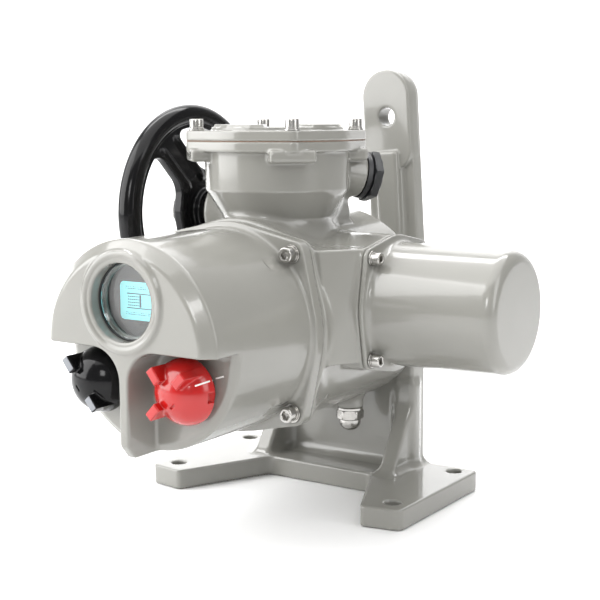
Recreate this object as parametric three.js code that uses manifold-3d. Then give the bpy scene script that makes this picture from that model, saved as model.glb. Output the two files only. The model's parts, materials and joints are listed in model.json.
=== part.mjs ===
// A small quarter-turn electric valve actuator on its own foot stand, as an assembly of separate pieces.
// Millimetres. +X runs along the motor, -Y points out of the control head, +Z is up.
// The origin is on the underside of the foot, below the middle of the stand plate and the output shaft.
import * as THREE from "three";
import { mergeVertices } from "three/addons/utils/BufferGeometryUtils.js";
import Module from "manifold-3d";

const wasm = await Module();
wasm.setup();

// ---------------------------------------------------------------- driving dimensions
const GAP = 0.3; // between pieces that touch
const RUNNING = 0.4; // radial play of a turning piece

// Axes of the machine
const OUTPUT_Z = 130.5; // output shaft, along Y
const WORM_Y = -62; // worm and handwheel shaft, along X
const WORM_Z = 198;
const MOTOR_Y = -76; // motor shaft, along X
const MOTOR_Z = 144;
const TERMINAL_Y = -91; // terminal compartment, along Z
const REST_TILT = -3.5; // degrees that the lever leans at rest

// Foot and stand
const FOOT_T = 14;
const FOOT_X = 104;
const FOOT_REAR = 9;
const FOOT_FRONT = -108.5;
const WEB_FRONT = -40;
const FOOT_HOLE_X = 90;
const FOOT_HOLE_Y = [-90.5, -1.5];
const FOOT_HOLE_R = 5.5;
const STAND_R = 60;
const STAND_HALF_T = 9;
const GUSSET_T = 12;

// Gear housing
const BODY_R = 69.5;
const BODY_BORE_R = 61;
const FLANGE_R = 68.5;
const LUG_R = 8.5; // the round corner of the flange about each of its four screws
const SCREW_PITCH = 50.3; // half the spacing of those screws, both ways
const PARTING_Y = -139;
const REAR_FACE_Y = -STAND_HALF_T - GAP;
const REAR_WALL_Y = -24;
const NECK_R = 45; // the neck that carries the motor: round, with four corners
const NECK_LUG_R = 6.5;
const NECK_X = 81.8;
const SIDE_X = -60;

// Control head
const HEAD_R = 65;
const HEAD_FRONT = -249.6;
const HEAD_FLANGE_T = 9;
const POCKET_DEPTH = 25;
const PILLAR_HALF = 3.4;
const WINDOW_Z = 158.8;
const WINDOW_BEZEL_R = 30.2;
const WINDOW_R = 23.2;
const KNOB_X = 33;
const KNOB_Z = 107.6;
const KNOB_R = 20.4;
const KNOB_DOME = 18;
const KNOB_STEM = 6; // the knob's flat back stands this far off the pocket's wall
const DISPLAY_Y = HEAD_FRONT + 19.5;
const SCREEN_HALF_X = 16.4;
const SCREEN_Z = [-12.8, 10.2]; // about the window's centre
const PIP_AT = [37, 0, 85.6]; // a small round boss on the barrel, ahead of the flange

// Motor
const MOTOR_R = 39.5;
const MOTOR_END = 171;
const MOTOR_FLANGE_T = 3;
const MOTOR_SCREW_Y = 33.4;
const MOTOR_SCREW_Z = 32.5;

// Terminal compartment
const TERMINAL_R = 48.5;
const TERMINAL_TOP = 249.3;
const LID_T = 6.7;
const LID_R = 52.5;
const LID_LUG_R = 7;
const LID_SCREW = 38.2;

// Gears
const WORM_MODULE = 2.5;
const WORM_PITCH_R = 15;
const WHEEL_TEETH = 42;
const WHEEL_WIDTH = 11;
const SPUR_MODULE = 1;
const PINION_TEETH = 14;
const IDLER_TEETH = 36;
const WORM_GEAR_TEETH = 26;
const SPUR_X = [-59.3, -53.5];
const WORM_SHAFT_R = 8;
const PIN_R = 3; // idler pin
const SIDE_SCREWS = [[-74.5, 207], [-74.5, 189], [-49.5, 207], [-49.5, 189]]; // in the side gear cover
const WHEEL_PHASE = 0.015; // turns the worm wheel so that its teeth stand between the worm's threads

// Handwheel and lever
const WHEEL_X = -97;
const WHEEL_RIM_R = 69.2;
const WHEEL_TUBE_R = 7.6;
const WINDOW_OUT = 60; // the three windows between the spokes
const WINDOW_IN = 30;
const SPOKE_HALF = 12.5;
const LEVER_FACE_Y = 69;
const LEVER_REAR_Y = 86;
const LEVER_HOLE = 135;
const LEVER_HOLE_R = 7.2;
const LEVER_HALF = 20.5;

// Output shaft, its bearings, and the travel stops: a cam that comes down on two screws
const SHAFT_R = 12;
const BEARING_R = 21;
const STOP_X = 24;
const STOP_Y = -36;
const STOP_R = 4;
const CAM_R = 30;
const CAM_LOBE_R = 42;
const TRAVEL_HALF = 45; // degrees each way from the lever upright
const CAM_Y = [-41.5, -30.5];
const TUBE_END = 60;

const DEG = Math.PI / 180;

// ---------------------------------------------------------------- helpers
// A closed geometry as a solid with its faces pointing out.
function solid(geometry) {
  geometry.deleteAttribute("normal");
  geometry.deleteAttribute("uv");
  const merged = mergeVertices(geometry, 1e-4);
  const triVerts = new Uint32Array(merged.index.array);
  const vertProperties = new Float32Array(merged.attributes.position.array);
  const made = new wasm.Manifold(new wasm.Mesh({ numProp: 3, vertProperties, triVerts }));
  if (made.volume() > 0) return made;
  for (let i = 0; i < triVerts.length; i += 3) {
    [triVerts[i + 1], triVerts[i + 2]] = [triVerts[i + 2], triVerts[i + 1]];
  }
  return new wasm.Manifold(new wasm.Mesh({ numProp: 3, vertProperties, triVerts }));
}

// Sides of a large, a middle and a small circle.
const LARGE = 32;
const MIDDLE = 18;
const SMALL = 10;

const union = (...parts) => parts.reduce((a, b) => a.add(b));
const cut = (body, ...tools) => tools.reduce((a, b) => a.subtract(b), body);

const X = new THREE.Vector3(1, 0, 0);
const Y = new THREE.Vector3(0, 1, 0);
const Z = new THREE.Vector3(0, 0, 1);
const BASIS = {
  xy: [X, Y, Z],
  yz: [Y, Z, X],
  xz: [X, Z, Y.clone().negate()],
};

// A shape drawn in a plane and extruded between two positions on the third axis.
function slab(plane, shape, from, to, bevel = 0) {
  const depth = to - from;
  const geometry = new THREE.ExtrudeGeometry(shape, {
    depth: depth - 2 * bevel,
    bevelEnabled: bevel > 0,
    bevelThickness: bevel,
    bevelSize: bevel,
    bevelOffset: -bevel,
    bevelSegments: 1,
    curveSegments: shape.detail ?? 10,
    steps: 1,
  });
  geometry.translate(0, 0, bevel);
  geometry.applyMatrix4(new THREE.Matrix4().makeBasis(...BASIS[plane]));
  const shift = plane === "xz" ? [0, to, 0] : plane === "yz" ? [from, 0, 0] : [0, 0, from];
  geometry.translate(...shift);
  return solid(geometry);
}

// A profile of [radius, position] pairs turned about an axis through a point.
function turned(axis, at, profile, segments = LARGE) {
  const points = profile.map(([r, along]) => new THREE.Vector2(r, along));
  const geometry = new THREE.LatheGeometry(points, segments);
  if (axis === "z") geometry.rotateX(Math.PI / 2);
  if (axis === "x") geometry.rotateZ(-Math.PI / 2);
  geometry.translate(...at);
  return solid(geometry);
}

// A round bar between two positions along an axis; at gives the other two coordinates.
function bar(axis, at, from, to, radius, segments = MIDDLE) {
  const profile = [[0, from], [radius, from], [radius, to], [0, to]];
  return turned(axis, at, profile, segments);
}

// A cutter for a round hole: its flats, not its corners, lie on the radius.
const drill = (axis, at, from, to, radius, segments = MIDDLE) =>
  bar(axis, at, from, to, radius / Math.cos(Math.PI / segments), segments);

// A ring between two radii and two positions along an axis.
function ring(axis, at, from, to, inner, outer, segments = MIDDLE) {
  const hole = inner / Math.cos(Math.PI / segments);
  const profile = [[hole, from], [outer, from], [outer, to], [hole, to], [hole, from]];
  return turned(axis, at, profile, segments);
}

function block(x, y, z) {
  const geometry = new THREE.BoxGeometry(x[1] - x[0], y[1] - y[0], z[1] - z[0]);
  geometry.translate((x[0] + x[1]) / 2, (y[0] + y[1]) / 2, (z[0] + z[1]) / 2);
  return solid(geometry);
}

// A polygon with its corners rounded: points are [u, v, radius].
function rounded(points, detail = 3) {
  const shape = new THREE.Shape();
  const count = points.length;
  points.forEach(([u, v, radius = 0], i) => {
    const here = new THREE.Vector2(u, v);
    const before = new THREE.Vector2(...points[(i + count - 1) % count].slice(0, 2));
    const after = new THREE.Vector2(...points[(i + 1) % count].slice(0, 2));
    const back = before.sub(here).normalize();
    const ahead = after.sub(here).normalize();
    const half = Math.acos(THREE.MathUtils.clamp(back.dot(ahead), -1, 1)) / 2;
    const run = radius / Math.tan(half);
    const start = here.clone().addScaledVector(back, run);
    const end = here.clone().addScaledVector(ahead, run);
    if (i === 0) shape.moveTo(start.x, start.y);
    else shape.lineTo(start.x, start.y);
    if (radius > 0) shape.quadraticCurveTo(u, v, end.x, end.y);
  });
  shape.closePath();
  shape.detail = detail;
  return shape;
}

const rectangle = (u0, u1, v0, v1, radius = 0, detail = 3) =>
  rounded([[u0, v0, radius], [u1, v0, radius], [u1, v1, radius], [u0, v1, radius]], detail);

function circle(u, v, radius, detail = MIDDLE) {
  const shape = new THREE.Shape();
  shape.absarc(u, v, radius, 0, 2 * Math.PI);
  shape.detail = detail / 2;
  return shape;
}

// The outline around two circles of different size, as a belt runs around two pulleys.
function belt([u0, v0, r0], [u1, v1, r1], detail = 7) {
  const lean = Math.atan2(v1 - v0, u1 - u0);
  const open = Math.acos((r0 - r1) / Math.hypot(u1 - u0, v1 - v0));
  const shape = new THREE.Shape();
  shape.absarc(u1, v1, r1, lean - open, lean + open);
  shape.absarc(u0, v0, r0, lean + open, lean - open + 2 * Math.PI);
  shape.closePath();
  shape.detail = detail;
  return shape;
}

// A round flange drawn out to four corners, each a small circle about a screw, with straight sides between.
function cornered(centreU, centreV, radius, halfU, halfV, cornerR) {
  const open = Math.acos((radius - cornerR) / Math.hypot(halfU, halfV));
  const points = [];
  const add = (u, v, r, from, to, steps) => {
    for (let i = 0; i <= steps; i++) {
      const a = from + ((to - from) * i) / steps;
      points.push(new THREE.Vector2(centreU + u + r * Math.cos(a), centreV + v + r * Math.sin(a)));
    }
  };
  const around = corners(halfU, halfV);
  around.forEach(([u, v], i) => {
    const lean = Math.atan2(v, u);
    const [nextU, nextV] = around[(i + 1) % 4];
    const next = Math.atan2(nextV, nextU);
    add(u, v, cornerR, lean - open, lean + open, 5);
    add(0, 0, radius, lean + open, (next < lean ? next + 2 * Math.PI : next) - open, 3);
  });
  return new THREE.Shape(points);
}

// A straight-flanked gear outline; half-angles of a tooth are given at its root and at its tip.
function gearShape(teeth, tipR, rootR, rootShare, tipShare, phase = 0) {
  const pitch = (2 * Math.PI) / teeth;
  const points = [];
  for (let i = 0; i < teeth; i++) {
    const centre = phase + i * pitch;
    for (const [r, a] of [[rootR, -rootShare], [tipR, -tipShare], [tipR, tipShare], [rootR, rootShare]]) {
      const angle = centre + a * pitch;
      points.push(new THREE.Vector2(r * Math.cos(angle), r * Math.sin(angle)));
    }
  }
  return new THREE.Shape(points);
}

const corners = (halfU, halfV) => [[halfU, halfV], [-halfU, halfV], [-halfU, -halfV], [halfU, -halfV]];

// ---------------------------------------------------------------- materials
const paint = () => new THREE.MeshStandardMaterial({ color: 0xa3a6a0, roughness: 0.3, metalness: 0.1 });
const steel = () => new THREE.MeshStandardMaterial({ color: 0xc4c6c8, roughness: 0.3, metalness: 1 });
const bronze = () => new THREE.MeshStandardMaterial({ color: 0xb08548, roughness: 0.4, metalness: 1 });
const black = () => new THREE.MeshStandardMaterial({ color: 0x131414, roughness: 0.25, metalness: 0 });
const rubber = () => new THREE.MeshStandardMaterial({ color: 0x1a1a1b, roughness: 0.8, metalness: 0 });
const red = () => new THREE.MeshStandardMaterial({ color: 0xc81e18, roughness: 0.25, metalness: 0 });
const glass = () =>
  new THREE.MeshStandardMaterial({ color: 0xdfe8ea, roughness: 0.05, transparent: true, opacity: 0.3 });
const board = () => new THREE.MeshStandardMaterial({ color: 0x1d5a34, roughness: 0.6, metalness: 0 });
const screen = () => new THREE.MeshStandardMaterial({ color: 0x6fd6e0, roughness: 0.4, metalness: 0 });
const copper = () => new THREE.MeshStandardMaterial({ color: 0xa35a33, roughness: 0.5, metalness: 0.6 });

const actuator = new THREE.Group();
const turning = new THREE.Group(); // what turns with the output shaft, about the origin of this group
turning.position.set(0, 0, OUTPUT_Z);
turning.rotation.y = REST_TILT * DEG;
actuator.add(turning);

function piece(name, made, material, parent = actuator) {
  const mesh = made.getMesh();
  const positions = new Float32Array(mesh.numVert * 3);
  for (let i = 0; i < mesh.numVert; i++) {
    positions.set(mesh.vertProperties.subarray(i * mesh.numProp, i * mesh.numProp + 3), i * 3);
  }
  const geometry = new THREE.BufferGeometry();
  geometry.setAttribute("position", new THREE.BufferAttribute(positions, 3));
  geometry.setIndex(new THREE.BufferAttribute(mesh.triVerts, 1));
  geometry.computeVertexNormals();
  const node = new THREE.Mesh(geometry, material);
  node.name = name;
  parent.add(node);
}

// A socket-head cap screw whose head sits at the origin and points along +Y, shank along -Y.
function capScrew(size, shank) {
  const headR = size * 0.8125;
  const body = turned("y", [0, 0, 0], [
    [0, -shank],
    [size / 2, -shank],
    [size / 2, 0],
    [headR, 0],
    [headR, size * 0.93],
    [headR * 0.9, size],
    [0, size],
  ], SMALL);
  const socket = bar("y", [0, 0, 0], size * 0.45, size + 1, size * 0.45, 6);
  return body.subtract(socket);
}

// Turns and places a solid made along +Y so that it points along a direction.
function aimed(made, direction, at) {
  const turn = new THREE.Quaternion().setFromUnitVectors(Y, new THREE.Vector3(...direction).normalize());
  const matrix = new THREE.Matrix4().makeRotationFromQuaternion(turn);
  matrix.setPosition(...at);
  return made.transform(matrix.elements);
}

// ---------------------------------------------------------------- foot and stand
function baseStand() {
  const outline = [
    [FOOT_X, FOOT_REAR, 5],
    [-FOOT_X, FOOT_REAR, 5],
    [-FOOT_X, FOOT_FRONT + 4.5, 7],
    [-76, FOOT_FRONT, 5],
    [-44, WEB_FRONT, 8],
    [44, WEB_FRONT, 8],
    [76, FOOT_FRONT, 5],
    [FOOT_X, FOOT_FRONT + 4.5, 7],
  ].reverse();
  const foot = slab("xy", rounded(outline), 0, FOOT_T, 1);
  const arch = new THREE.Shape();
  arch.moveTo(-STAND_R, FOOT_T - 3);
  arch.lineTo(STAND_R, FOOT_T - 3);
  arch.lineTo(STAND_R, OUTPUT_Z);
  arch.absarc(0, OUTPUT_Z, STAND_R, 0, Math.PI);
  arch.detail = 12;
  const plate = slab("xz", arch, -STAND_HALF_T, STAND_HALF_T, 1);
  const gussetOutline = rounded([
    [STAND_HALF_T - 2, FOOT_T - 3],
    [STAND_HALF_T - 2, 72],
    [-STAND_HALF_T + 1, 72],
    [-STAND_HALF_T + 0.4, 60, 12],
    [-34, 22, 7],
    [WEB_FRONT + 1, FOOT_T - 0.5],
    [WEB_FRONT + 1, FOOT_T - 3],
  ]);
  const gussets = [-1, 1].map((side) => {
    const x = [side * STAND_R, side * (STAND_R - GUSSET_T)].sort((a, b) => a - b);
    return slab("yz", gussetOutline, x[0], x[1], 0.8);
  });
  const fillet = rounded([
    [-STAND_HALF_T + 1, FOOT_T - 2],
    [-STAND_HALF_T + 1, FOOT_T + 9],
    [-STAND_HALF_T - 2, FOOT_T + 3, 3],
    [-STAND_HALF_T - 9, FOOT_T - 0.2],
    [-STAND_HALF_T - 9, FOOT_T - 2],
  ]);
  const footFillet = slab("yz", fillet, -STAND_R + 2, STAND_R - 2);
  const holes = [];
  for (const side of [-1, 1]) {
    for (const y of FOOT_HOLE_Y) {
      holes.push(drill("z", [side * FOOT_HOLE_X, y, 0], -1, FOOT_T + 1, FOOT_HOLE_R, SMALL));
    }
  }
  const shaftHole = drill("y", [0, 0, OUTPUT_Z], -20, 20, 30, MIDDLE);
  return cut(union(foot, plate, ...gussets, footFillet), ...holes, shaftHole);
}
piece("base_stand", baseStand(), paint());

// ---------------------------------------------------------------- gear housing
const IDLER = idlerCentre();
const CASE_R = 17.5; // the round top of the side gear case, about the worm shaft

// Where the idler meshes with both the motor pinion and the gear on the worm shaft.
function idlerCentre() {
  const toPinion = (SPUR_MODULE * (PINION_TEETH + IDLER_TEETH)) / 2;
  const toGear = (SPUR_MODULE * (WORM_GEAR_TEETH + IDLER_TEETH)) / 2;
  const dy = WORM_Y - MOTOR_Y;
  const dz = WORM_Z - MOTOR_Z;
  const span = Math.hypot(dy, dz);
  const along = (toPinion ** 2 - toGear ** 2 + span ** 2) / (2 * span);
  const aside = Math.sqrt(toPinion ** 2 - along ** 2);
  return {
    y: MOTOR_Y + (dy * along + dz * aside) / span,
    z: MOTOR_Z + (dz * along - dy * aside) / span,
  };
}

// The side gear case around its three gears, grown by a margin.
function caseSolid(margin, from, to) {
  const top = [WORM_Y, WORM_Z, CASE_R - 3 + margin];
  const middle = [IDLER.y, IDLER.z, IDLER_TEETH / 2 + 2.2 + margin];
  const low = [MOTOR_Y, MOTOR_Z, PINION_TEETH / 2 + 3 + margin];
  return union(slab("yz", belt(top, middle), from, to), slab("yz", belt(middle, low), from, to));
}

const CABLE_AXIS = new THREE.Vector3(0.56, 0.81, -0.18).normalize();
const CABLE_Z = 236.5;
const CABLE_BOSS_R = 15.5;

function alongCable(from, to, radius, segments) {
  const made = bar("y", [0, 0, 0], from, to, radius, segments);
  return aimed(made, CABLE_AXIS.toArray(), [0, TERMINAL_Y, CABLE_Z]);
}

const headOutline = () => cornered(0, OUTPUT_Z, FLANGE_R, SCREW_PITCH, SCREW_PITCH, LUG_R);
const neckOutline = () => cornered(MOTOR_Y, MOTOR_Z, NECK_R, MOTOR_SCREW_Y, MOTOR_SCREW_Z, NECK_LUG_R);
const lidOutline = () => cornered(0, TERMINAL_Y, LID_R, LID_SCREW, LID_SCREW, LID_LUG_R);

// The tube around the worm shaft, narrower at its closed end.
function wormTunnel() {
  const profile = [[0, SIDE_X], [23.5, SIDE_X], [23.5, 19], [17, 21], [17, 29.5], [0, 29.5]];
  return turned("x", [0, WORM_Y, WORM_Z], profile, MIDDLE);
}

function gearHousing() {
  const frontFlange = slab("xz", headOutline(), PARTING_Y, PARTING_Y + 8, 0.6);
  const behindFlange = bar("y", [0, 0, OUTPUT_Z], PARTING_Y + 7, PARTING_Y + 26, BODY_R, LARGE);
  const fairing = wasm.Manifold.hull([frontFlange, behindFlange]);
  const barrel = bar("y", [0, 0, OUTPUT_Z], PARTING_Y + 2, REAR_FACE_Y, BODY_R, LARGE);
  const neck = slab("yz", neckOutline(), 20, NECK_X, 0.7);
  const shoulderSection = rounded([
    [40, -100],
    [40, PARTING_Y + 3],
    [64.8, PARTING_Y + 3, 1],
    [NECK_X - 0.3, -113, 1],
    [NECK_X - 0.3, -100],
  ], 3);
  const shoulder = slab("xy", shoulderSection, MOTOR_Z - 34, MOTOR_Z + 38.6, 0.7);
  const terminal = turned("z", [0, TERMINAL_Y, 0], [
    [0, 180],
    [37, 180],
    [37, 199],
    [48.5, 217.5],
    [TERMINAL_R, TERMINAL_TOP - 1],
    [0, TERMINAL_TOP - 1],
  ]);
  const collar = slab("xy", lidOutline(), TERMINAL_TOP - 6.5, TERMINAL_TOP, 0.6);
  const lugs = corners(LID_SCREW, LID_SCREW).map(([x, y]) =>
    bar("z", [x * 1.02, TERMINAL_Y + y * 1.02, 0], TERMINAL_TOP - 12.8, TERMINAL_TOP - 3, 6.6, 14),
  );
  const cableBoss = alongCable(20, 61, CABLE_BOSS_R, MIDDLE);
  const tunnel = wormTunnel();
  const sideCase = caseSolid(3, SIDE_X, -40);
  const stopBosses = [-1, 1].map((side) =>
    bar("z", [side * STOP_X, STOP_Y, 0], 60, 78, 9.5, SMALL),
  );
  const flanges = union(fairing, collar, ...lugs);
  const outer = union(flanges, barrel, neck, shoulder, terminal, cableBoss, tunnel, sideCase, ...stopBosses);

  const flat = block([-90, SIDE_X], [-101, -32], [92, 230]);
  const cavity = bar("y", [0, 0, OUTPUT_Z], PARTING_Y - 1, REAR_WALL_Y, BODY_BORE_R, LARGE);
  const motorBore = drill("x", [0, MOTOR_Y, MOTOR_Z], 40, NECK_X + 1, 32, MIDDLE);
  const tunnelBore = union(
    drill("x", [0, WORM_Y, WORM_Z], SIDE_X - 1, 16.5, 19.2),
    drill("x", [0, WORM_Y, WORM_Z], 16, 26.5, 13.3),
  );
  const caseCavity = caseSolid(0, SIDE_X - 1, -50);
  const terminalRoom = turned("z", [0, TERMINAL_Y, 0], [
    [0, 208],
    [34, 208],
    [43.5, 217],
    [43.5, TERMINAL_TOP + 1],
    [0, TERMINAL_TOP + 1],
  ], LARGE).subtract(wormTunnel());
  const wirePassage = bar("z", [0, TERMINAL_Y - 24, 0], 180, 210, 7, 14);
  const bearingSeat = drill("y", [0, 0, OUTPUT_Z], REAR_WALL_Y - 1, REAR_FACE_Y + 1, BEARING_R + GAP);
  const cableHole = alongCable(30, 70, 9.4, SMALL);
  const lidHoles = corners(LID_SCREW, LID_SCREW).map(([x, y]) =>
    bar("z", [x, TERMINAL_Y + y, 0], TERMINAL_TOP - 11, TERMINAL_TOP + 1, 2.8, 10),
  );
  const flangeHoles = corners(SCREW_PITCH, SCREW_PITCH).map(([x, z]) =>
    bar("y", [x, 0, OUTPUT_Z + z], PARTING_Y - 1, PARTING_Y + 12, 3.3, 10),
  );
  const motorHoles = corners(MOTOR_SCREW_Y, MOTOR_SCREW_Z).map(([y, z]) =>
    bar("x", [0, MOTOR_Y + y, MOTOR_Z + z], NECK_X - 11, NECK_X + 1, 2.8, 10),
  );
  const stopHoles = [-1, 1].map((side) =>
    drill("z", [side * STOP_X, STOP_Y, 0], 55, 110, STOP_R + GAP, 12),
  );
  const rooms = [flat, cavity, motorBore, tunnelBore, caseCavity, terminalRoom];
  const openings = [wirePassage, bearingSeat, cableHole];
  return cut(outer, ...rooms, ...openings, ...lidHoles, ...flangeHoles, ...motorHoles, ...stopHoles);
}

piece("gear_housing", gearHousing(), paint());

// ---------------------------------------------------------------- side gear cover
function sideCover() {
  const x0 = SIDE_X - 4.6;
  const x1 = SIDE_X - GAP;
  const middle = [IDLER.y, IDLER.z, IDLER_TEETH / 2 + 5.2];
  const plate = union(
    slab("yz", belt([WORM_Y, WORM_Z, CASE_R], middle), x0, x1, 0.6),
    slab("yz", belt(middle, [MOTOR_Y + 4, MOTOR_Z - 22, 16]), x0, x1, 0.6),
  );
  const shaftHole = drill("x", [0, WORM_Y, WORM_Z], x0 - 1, x1 + 1, WORM_SHAFT_R + 0.6, 24);
  const pinSeat = drill("x", [0, IDLER.y, IDLER.z], x0 + 1.4, x1 + 1, PIN_R + GAP, 12);
  const motorSeat = drill("x", [0, MOTOR_Y, MOTOR_Z], x0 + 1.4, x1 + 1, 4.5, SMALL);
  const holes = SIDE_SCREWS.map(([y, z]) => bar("x", [0, y, z], x0 - 1, x1 + 1, 1.9, 8));
  return cut(plate, shaftHole, pinSeat, motorSeat, ...holes);
}
piece("side_gear_cover", sideCover(), paint());

// ---------------------------------------------------------------- worm, wheel and spur gears
const WORM_PITCH = Math.PI * WORM_MODULE;

// One helical thread as a bar of trapezoid section; its root is sunk into the shaft.
function wormThread(from, to) {
  const steps = 12;
  const turns = (to - from) / WORM_PITCH;
  const count = Math.round(turns * steps);
  const rootR = WORM_PITCH_R - 3.1;
  const tipR = WORM_PITCH_R + 2.4;
  const section = [[-2.75, rootR - 0.6], [-1.0, tipR], [1.0, tipR], [2.75, rootR - 0.6]];
  const positions = [];
  const index = [];
  for (let i = 0; i <= count; i++) {
    const angle = (i / steps) * 2 * Math.PI;
    const along = from + (i / steps) * WORM_PITCH;
    for (const [dx, r] of section) {
      positions.push(along + dx, WORM_Y + r * Math.cos(angle), WORM_Z + r * Math.sin(angle));
    }
  }
  for (let i = 0; i < count; i++) {
    for (let k = 0; k < 4; k++) {
      const a = i * 4 + k;
      const b = i * 4 + ((k + 1) % 4);
      index.push(a, b, a + 4, b, b + 4, a + 4);
    }
  }
  const last = count * 4;
  index.push(0, 2, 1, 0, 3, 2, last, last + 1, last + 2, last, last + 2, last + 3);
  const geometry = new THREE.BufferGeometry();
  geometry.setAttribute("position", new THREE.Float32BufferAttribute(positions, 3));
  geometry.setIndex(index);
  return solid(geometry);
}

function wormShaft() {
  const profile = [
    [0, WHEEL_X - 14],
    [6, WHEEL_X - 14],
    [6, WHEEL_X + 20.6],
    [WORM_SHAFT_R, WHEEL_X + 20.6],
    [WORM_SHAFT_R, -41],
    [9.5, -38],
    [WORM_PITCH_R - 3.1, -32],
    [WORM_PITCH_R - 3.1, 15.5],
    [6, 16.5],
    [6, 26],
    [0, 26],
  ];
  const shaft = turned("x", [0, WORM_Y, WORM_Z], profile, 24);
  return shaft.add(wormThread(-21.8, 13.5));
}
piece("worm_shaft", wormShaft(), steel());

const bearing = ring;
const wormAt = [0, WORM_Y, WORM_Z];
piece("worm_bearing_left", bearing("x", wormAt, -49.5, -42.5, WORM_SHAFT_R + 0.05, 18.9), steel());
piece("worm_bearing_right", bearing("x", wormAt, 18, 25.5, 6.05, 13), steel());

// The worm wheel's teeth lean by the worm's lead angle.
function wormWheel() {
  const half = WHEEL_WIDTH / 2;
  const pitchR = (WORM_MODULE * WHEEL_TEETH) / 2;
  const phase = 90 * DEG + WHEEL_PHASE;
  const outline = gearShape(WHEEL_TEETH, pitchR + 2.3, pitchR - 3, 0.30, 0.135, phase);
  const geometry = new THREE.ExtrudeGeometry(outline, { depth: WHEEL_WIDTH, bevelEnabled: false });
  geometry.rotateX(Math.PI / 2);
  geometry.translate(0, WORM_Y + half, 0);
  const lead = WORM_MODULE / (2 * WORM_PITCH_R);
  const position = geometry.attributes.position;
  for (let i = 0; i < position.count; i++) {
    const turn = ((position.getY(i) - WORM_Y) * lead) / pitchR;
    const x = position.getX(i);
    const z = position.getZ(i);
    position.setX(i, x * Math.cos(turn) + z * Math.sin(turn));
    position.setZ(i, z * Math.cos(turn) - x * Math.sin(turn));
  }
  const bore = drill("y", [0, 0, 0], WORM_Y - half - 1, WORM_Y + half + 1, SHAFT_R + GAP);
  return solid(geometry).subtract(bore);
}
piece("worm_wheel", wormWheel(), bronze(), turning);

// A spur gear about an X axis; phase puts a tooth on the +Y side at zero.
function spurGear(teeth, y, z, boreR, phase) {
  const r = (SPUR_MODULE * teeth) / 2;
  const outline = gearShape(teeth, r + 0.8, r - 1.3, 0.28, 0.12, phase);
  const gear = slab("yz", outline, SPUR_X[0], SPUR_X[1]).translate([0, y, z]);
  return gear.subtract(drill("x", [0, y, z], SPUR_X[0] - 1, SPUR_X[1] + 1, boreR, SMALL));
}

const angleTo = (a, b) => Math.atan2(b.z - a.z, b.y - a.y);
const MOTOR_AXIS = { y: MOTOR_Y, z: MOTOR_Z };
const WORM_AXIS = { y: WORM_Y, z: WORM_Z };

// A tooth of one gear stands in a gap of its neighbour along the line of their centres.
const idlerPhase = 0;
function meshPhase(from, fromTeeth, fromPhase, to, toTeeth) {
  const line = angleTo(from, to);
  const turns = ((line - fromPhase) / (2 * Math.PI)) * fromTeeth;
  return line + Math.PI + ((turns + 0.5) * 2 * Math.PI) / toTeeth;
}
const pinionPhase = meshPhase(IDLER, IDLER_TEETH, idlerPhase, MOTOR_AXIS, PINION_TEETH);
const wormGearPhase = meshPhase(IDLER, IDLER_TEETH, idlerPhase, WORM_AXIS, WORM_GEAR_TEETH);
const wormGear = spurGear(WORM_GEAR_TEETH, WORM_Y, WORM_Z, WORM_SHAFT_R + GAP, wormGearPhase);
piece("worm_spur_gear", wormGear, steel());
piece("idler_gear", spurGear(IDLER_TEETH, IDLER.y, IDLER.z, PIN_R + 0.06, idlerPhase), steel());
piece("motor_pinion", spurGear(PINION_TEETH, MOTOR_Y, MOTOR_Z, 4 + GAP, pinionPhase), steel());

function idlerPin() {
  const at = [0, IDLER.y, IDLER.z];
  const pin = bar("x", at, SIDE_X - 3, SIDE_X + 8.5, PIN_R, SMALL);
  const clip = bar("x", at, SPUR_X[1] + 0.4, SPUR_X[1] + 2, 5, SMALL);
  return union(pin, clip);
}
piece("idler_pin", idlerPin(), steel());

// ---------------------------------------------------------------- motor
function motorCover() {
  const flangeX = NECK_X + GAP;
  const flange = slab("yz", neckOutline(), flangeX, flangeX + MOTOR_FLANGE_T, 0.5);
  const at = [0, MOTOR_Y, MOTOR_Z];
  const can = turned("x", at, [
    [0, flangeX + 1],
    [MOTOR_R + 1.5, flangeX + 1],
    [MOTOR_R + 1.5, flangeX + MOTOR_FLANGE_T],
    [MOTOR_R, flangeX + MOTOR_FLANGE_T + 3],
    [MOTOR_R - 0.7, MOTOR_END - 11],
    [MOTOR_R - 2.3, MOTOR_END - 5],
    [MOTOR_R - 5.5, MOTOR_END - 1.6],
    [MOTOR_R - 10, MOTOR_END],
    [0, MOTOR_END],
  ], LARGE);
  const room = turned("x", at, [
    [0, flangeX - 1],
    [34.5, flangeX - 1],
    [34.5, MOTOR_END - 9],
    [30, MOTOR_END - 4.5],
    [0, MOTOR_END - 4.5],
  ], LARGE);
  const holes = corners(MOTOR_SCREW_Y, MOTOR_SCREW_Z).map(([y, z]) =>
    bar("x", [0, MOTOR_Y + y, MOTOR_Z + z], flangeX - 1, flangeX + MOTOR_FLANGE_T + 1, 2.8, 10),
  );
  const faceX = flangeX + MOTOR_FLANGE_T;
  const faces = corners(MOTOR_SCREW_Y, MOTOR_SCREW_Z).map(([y, z]) =>
    bar("x", [0, MOTOR_Y + y, MOTOR_Z + z], faceX, faceX + 12, 5.6, SMALL),
  );
  return cut(union(flange, can), room, ...holes, ...faces);
}
piece("motor_cover", motorCover(), paint());
corners(MOTOR_SCREW_Y, MOTOR_SCREW_Z).forEach(([y, z], i) => {
  const at = [NECK_X + 2 * GAP + MOTOR_FLANGE_T + 1.6, MOTOR_Y + y, MOTOR_Z + z];
  piece(`motor_screw_${i + 1}`, aimed(capScrew(5, 12), [1, 0, 0], at), steel());
});
piece("motor_seal", ring("x", [0, MOTOR_Y, MOTOR_Z], NECK_X + 0.6, NECK_X + 4, 31, 34.2, LARGE), rubber());
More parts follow.
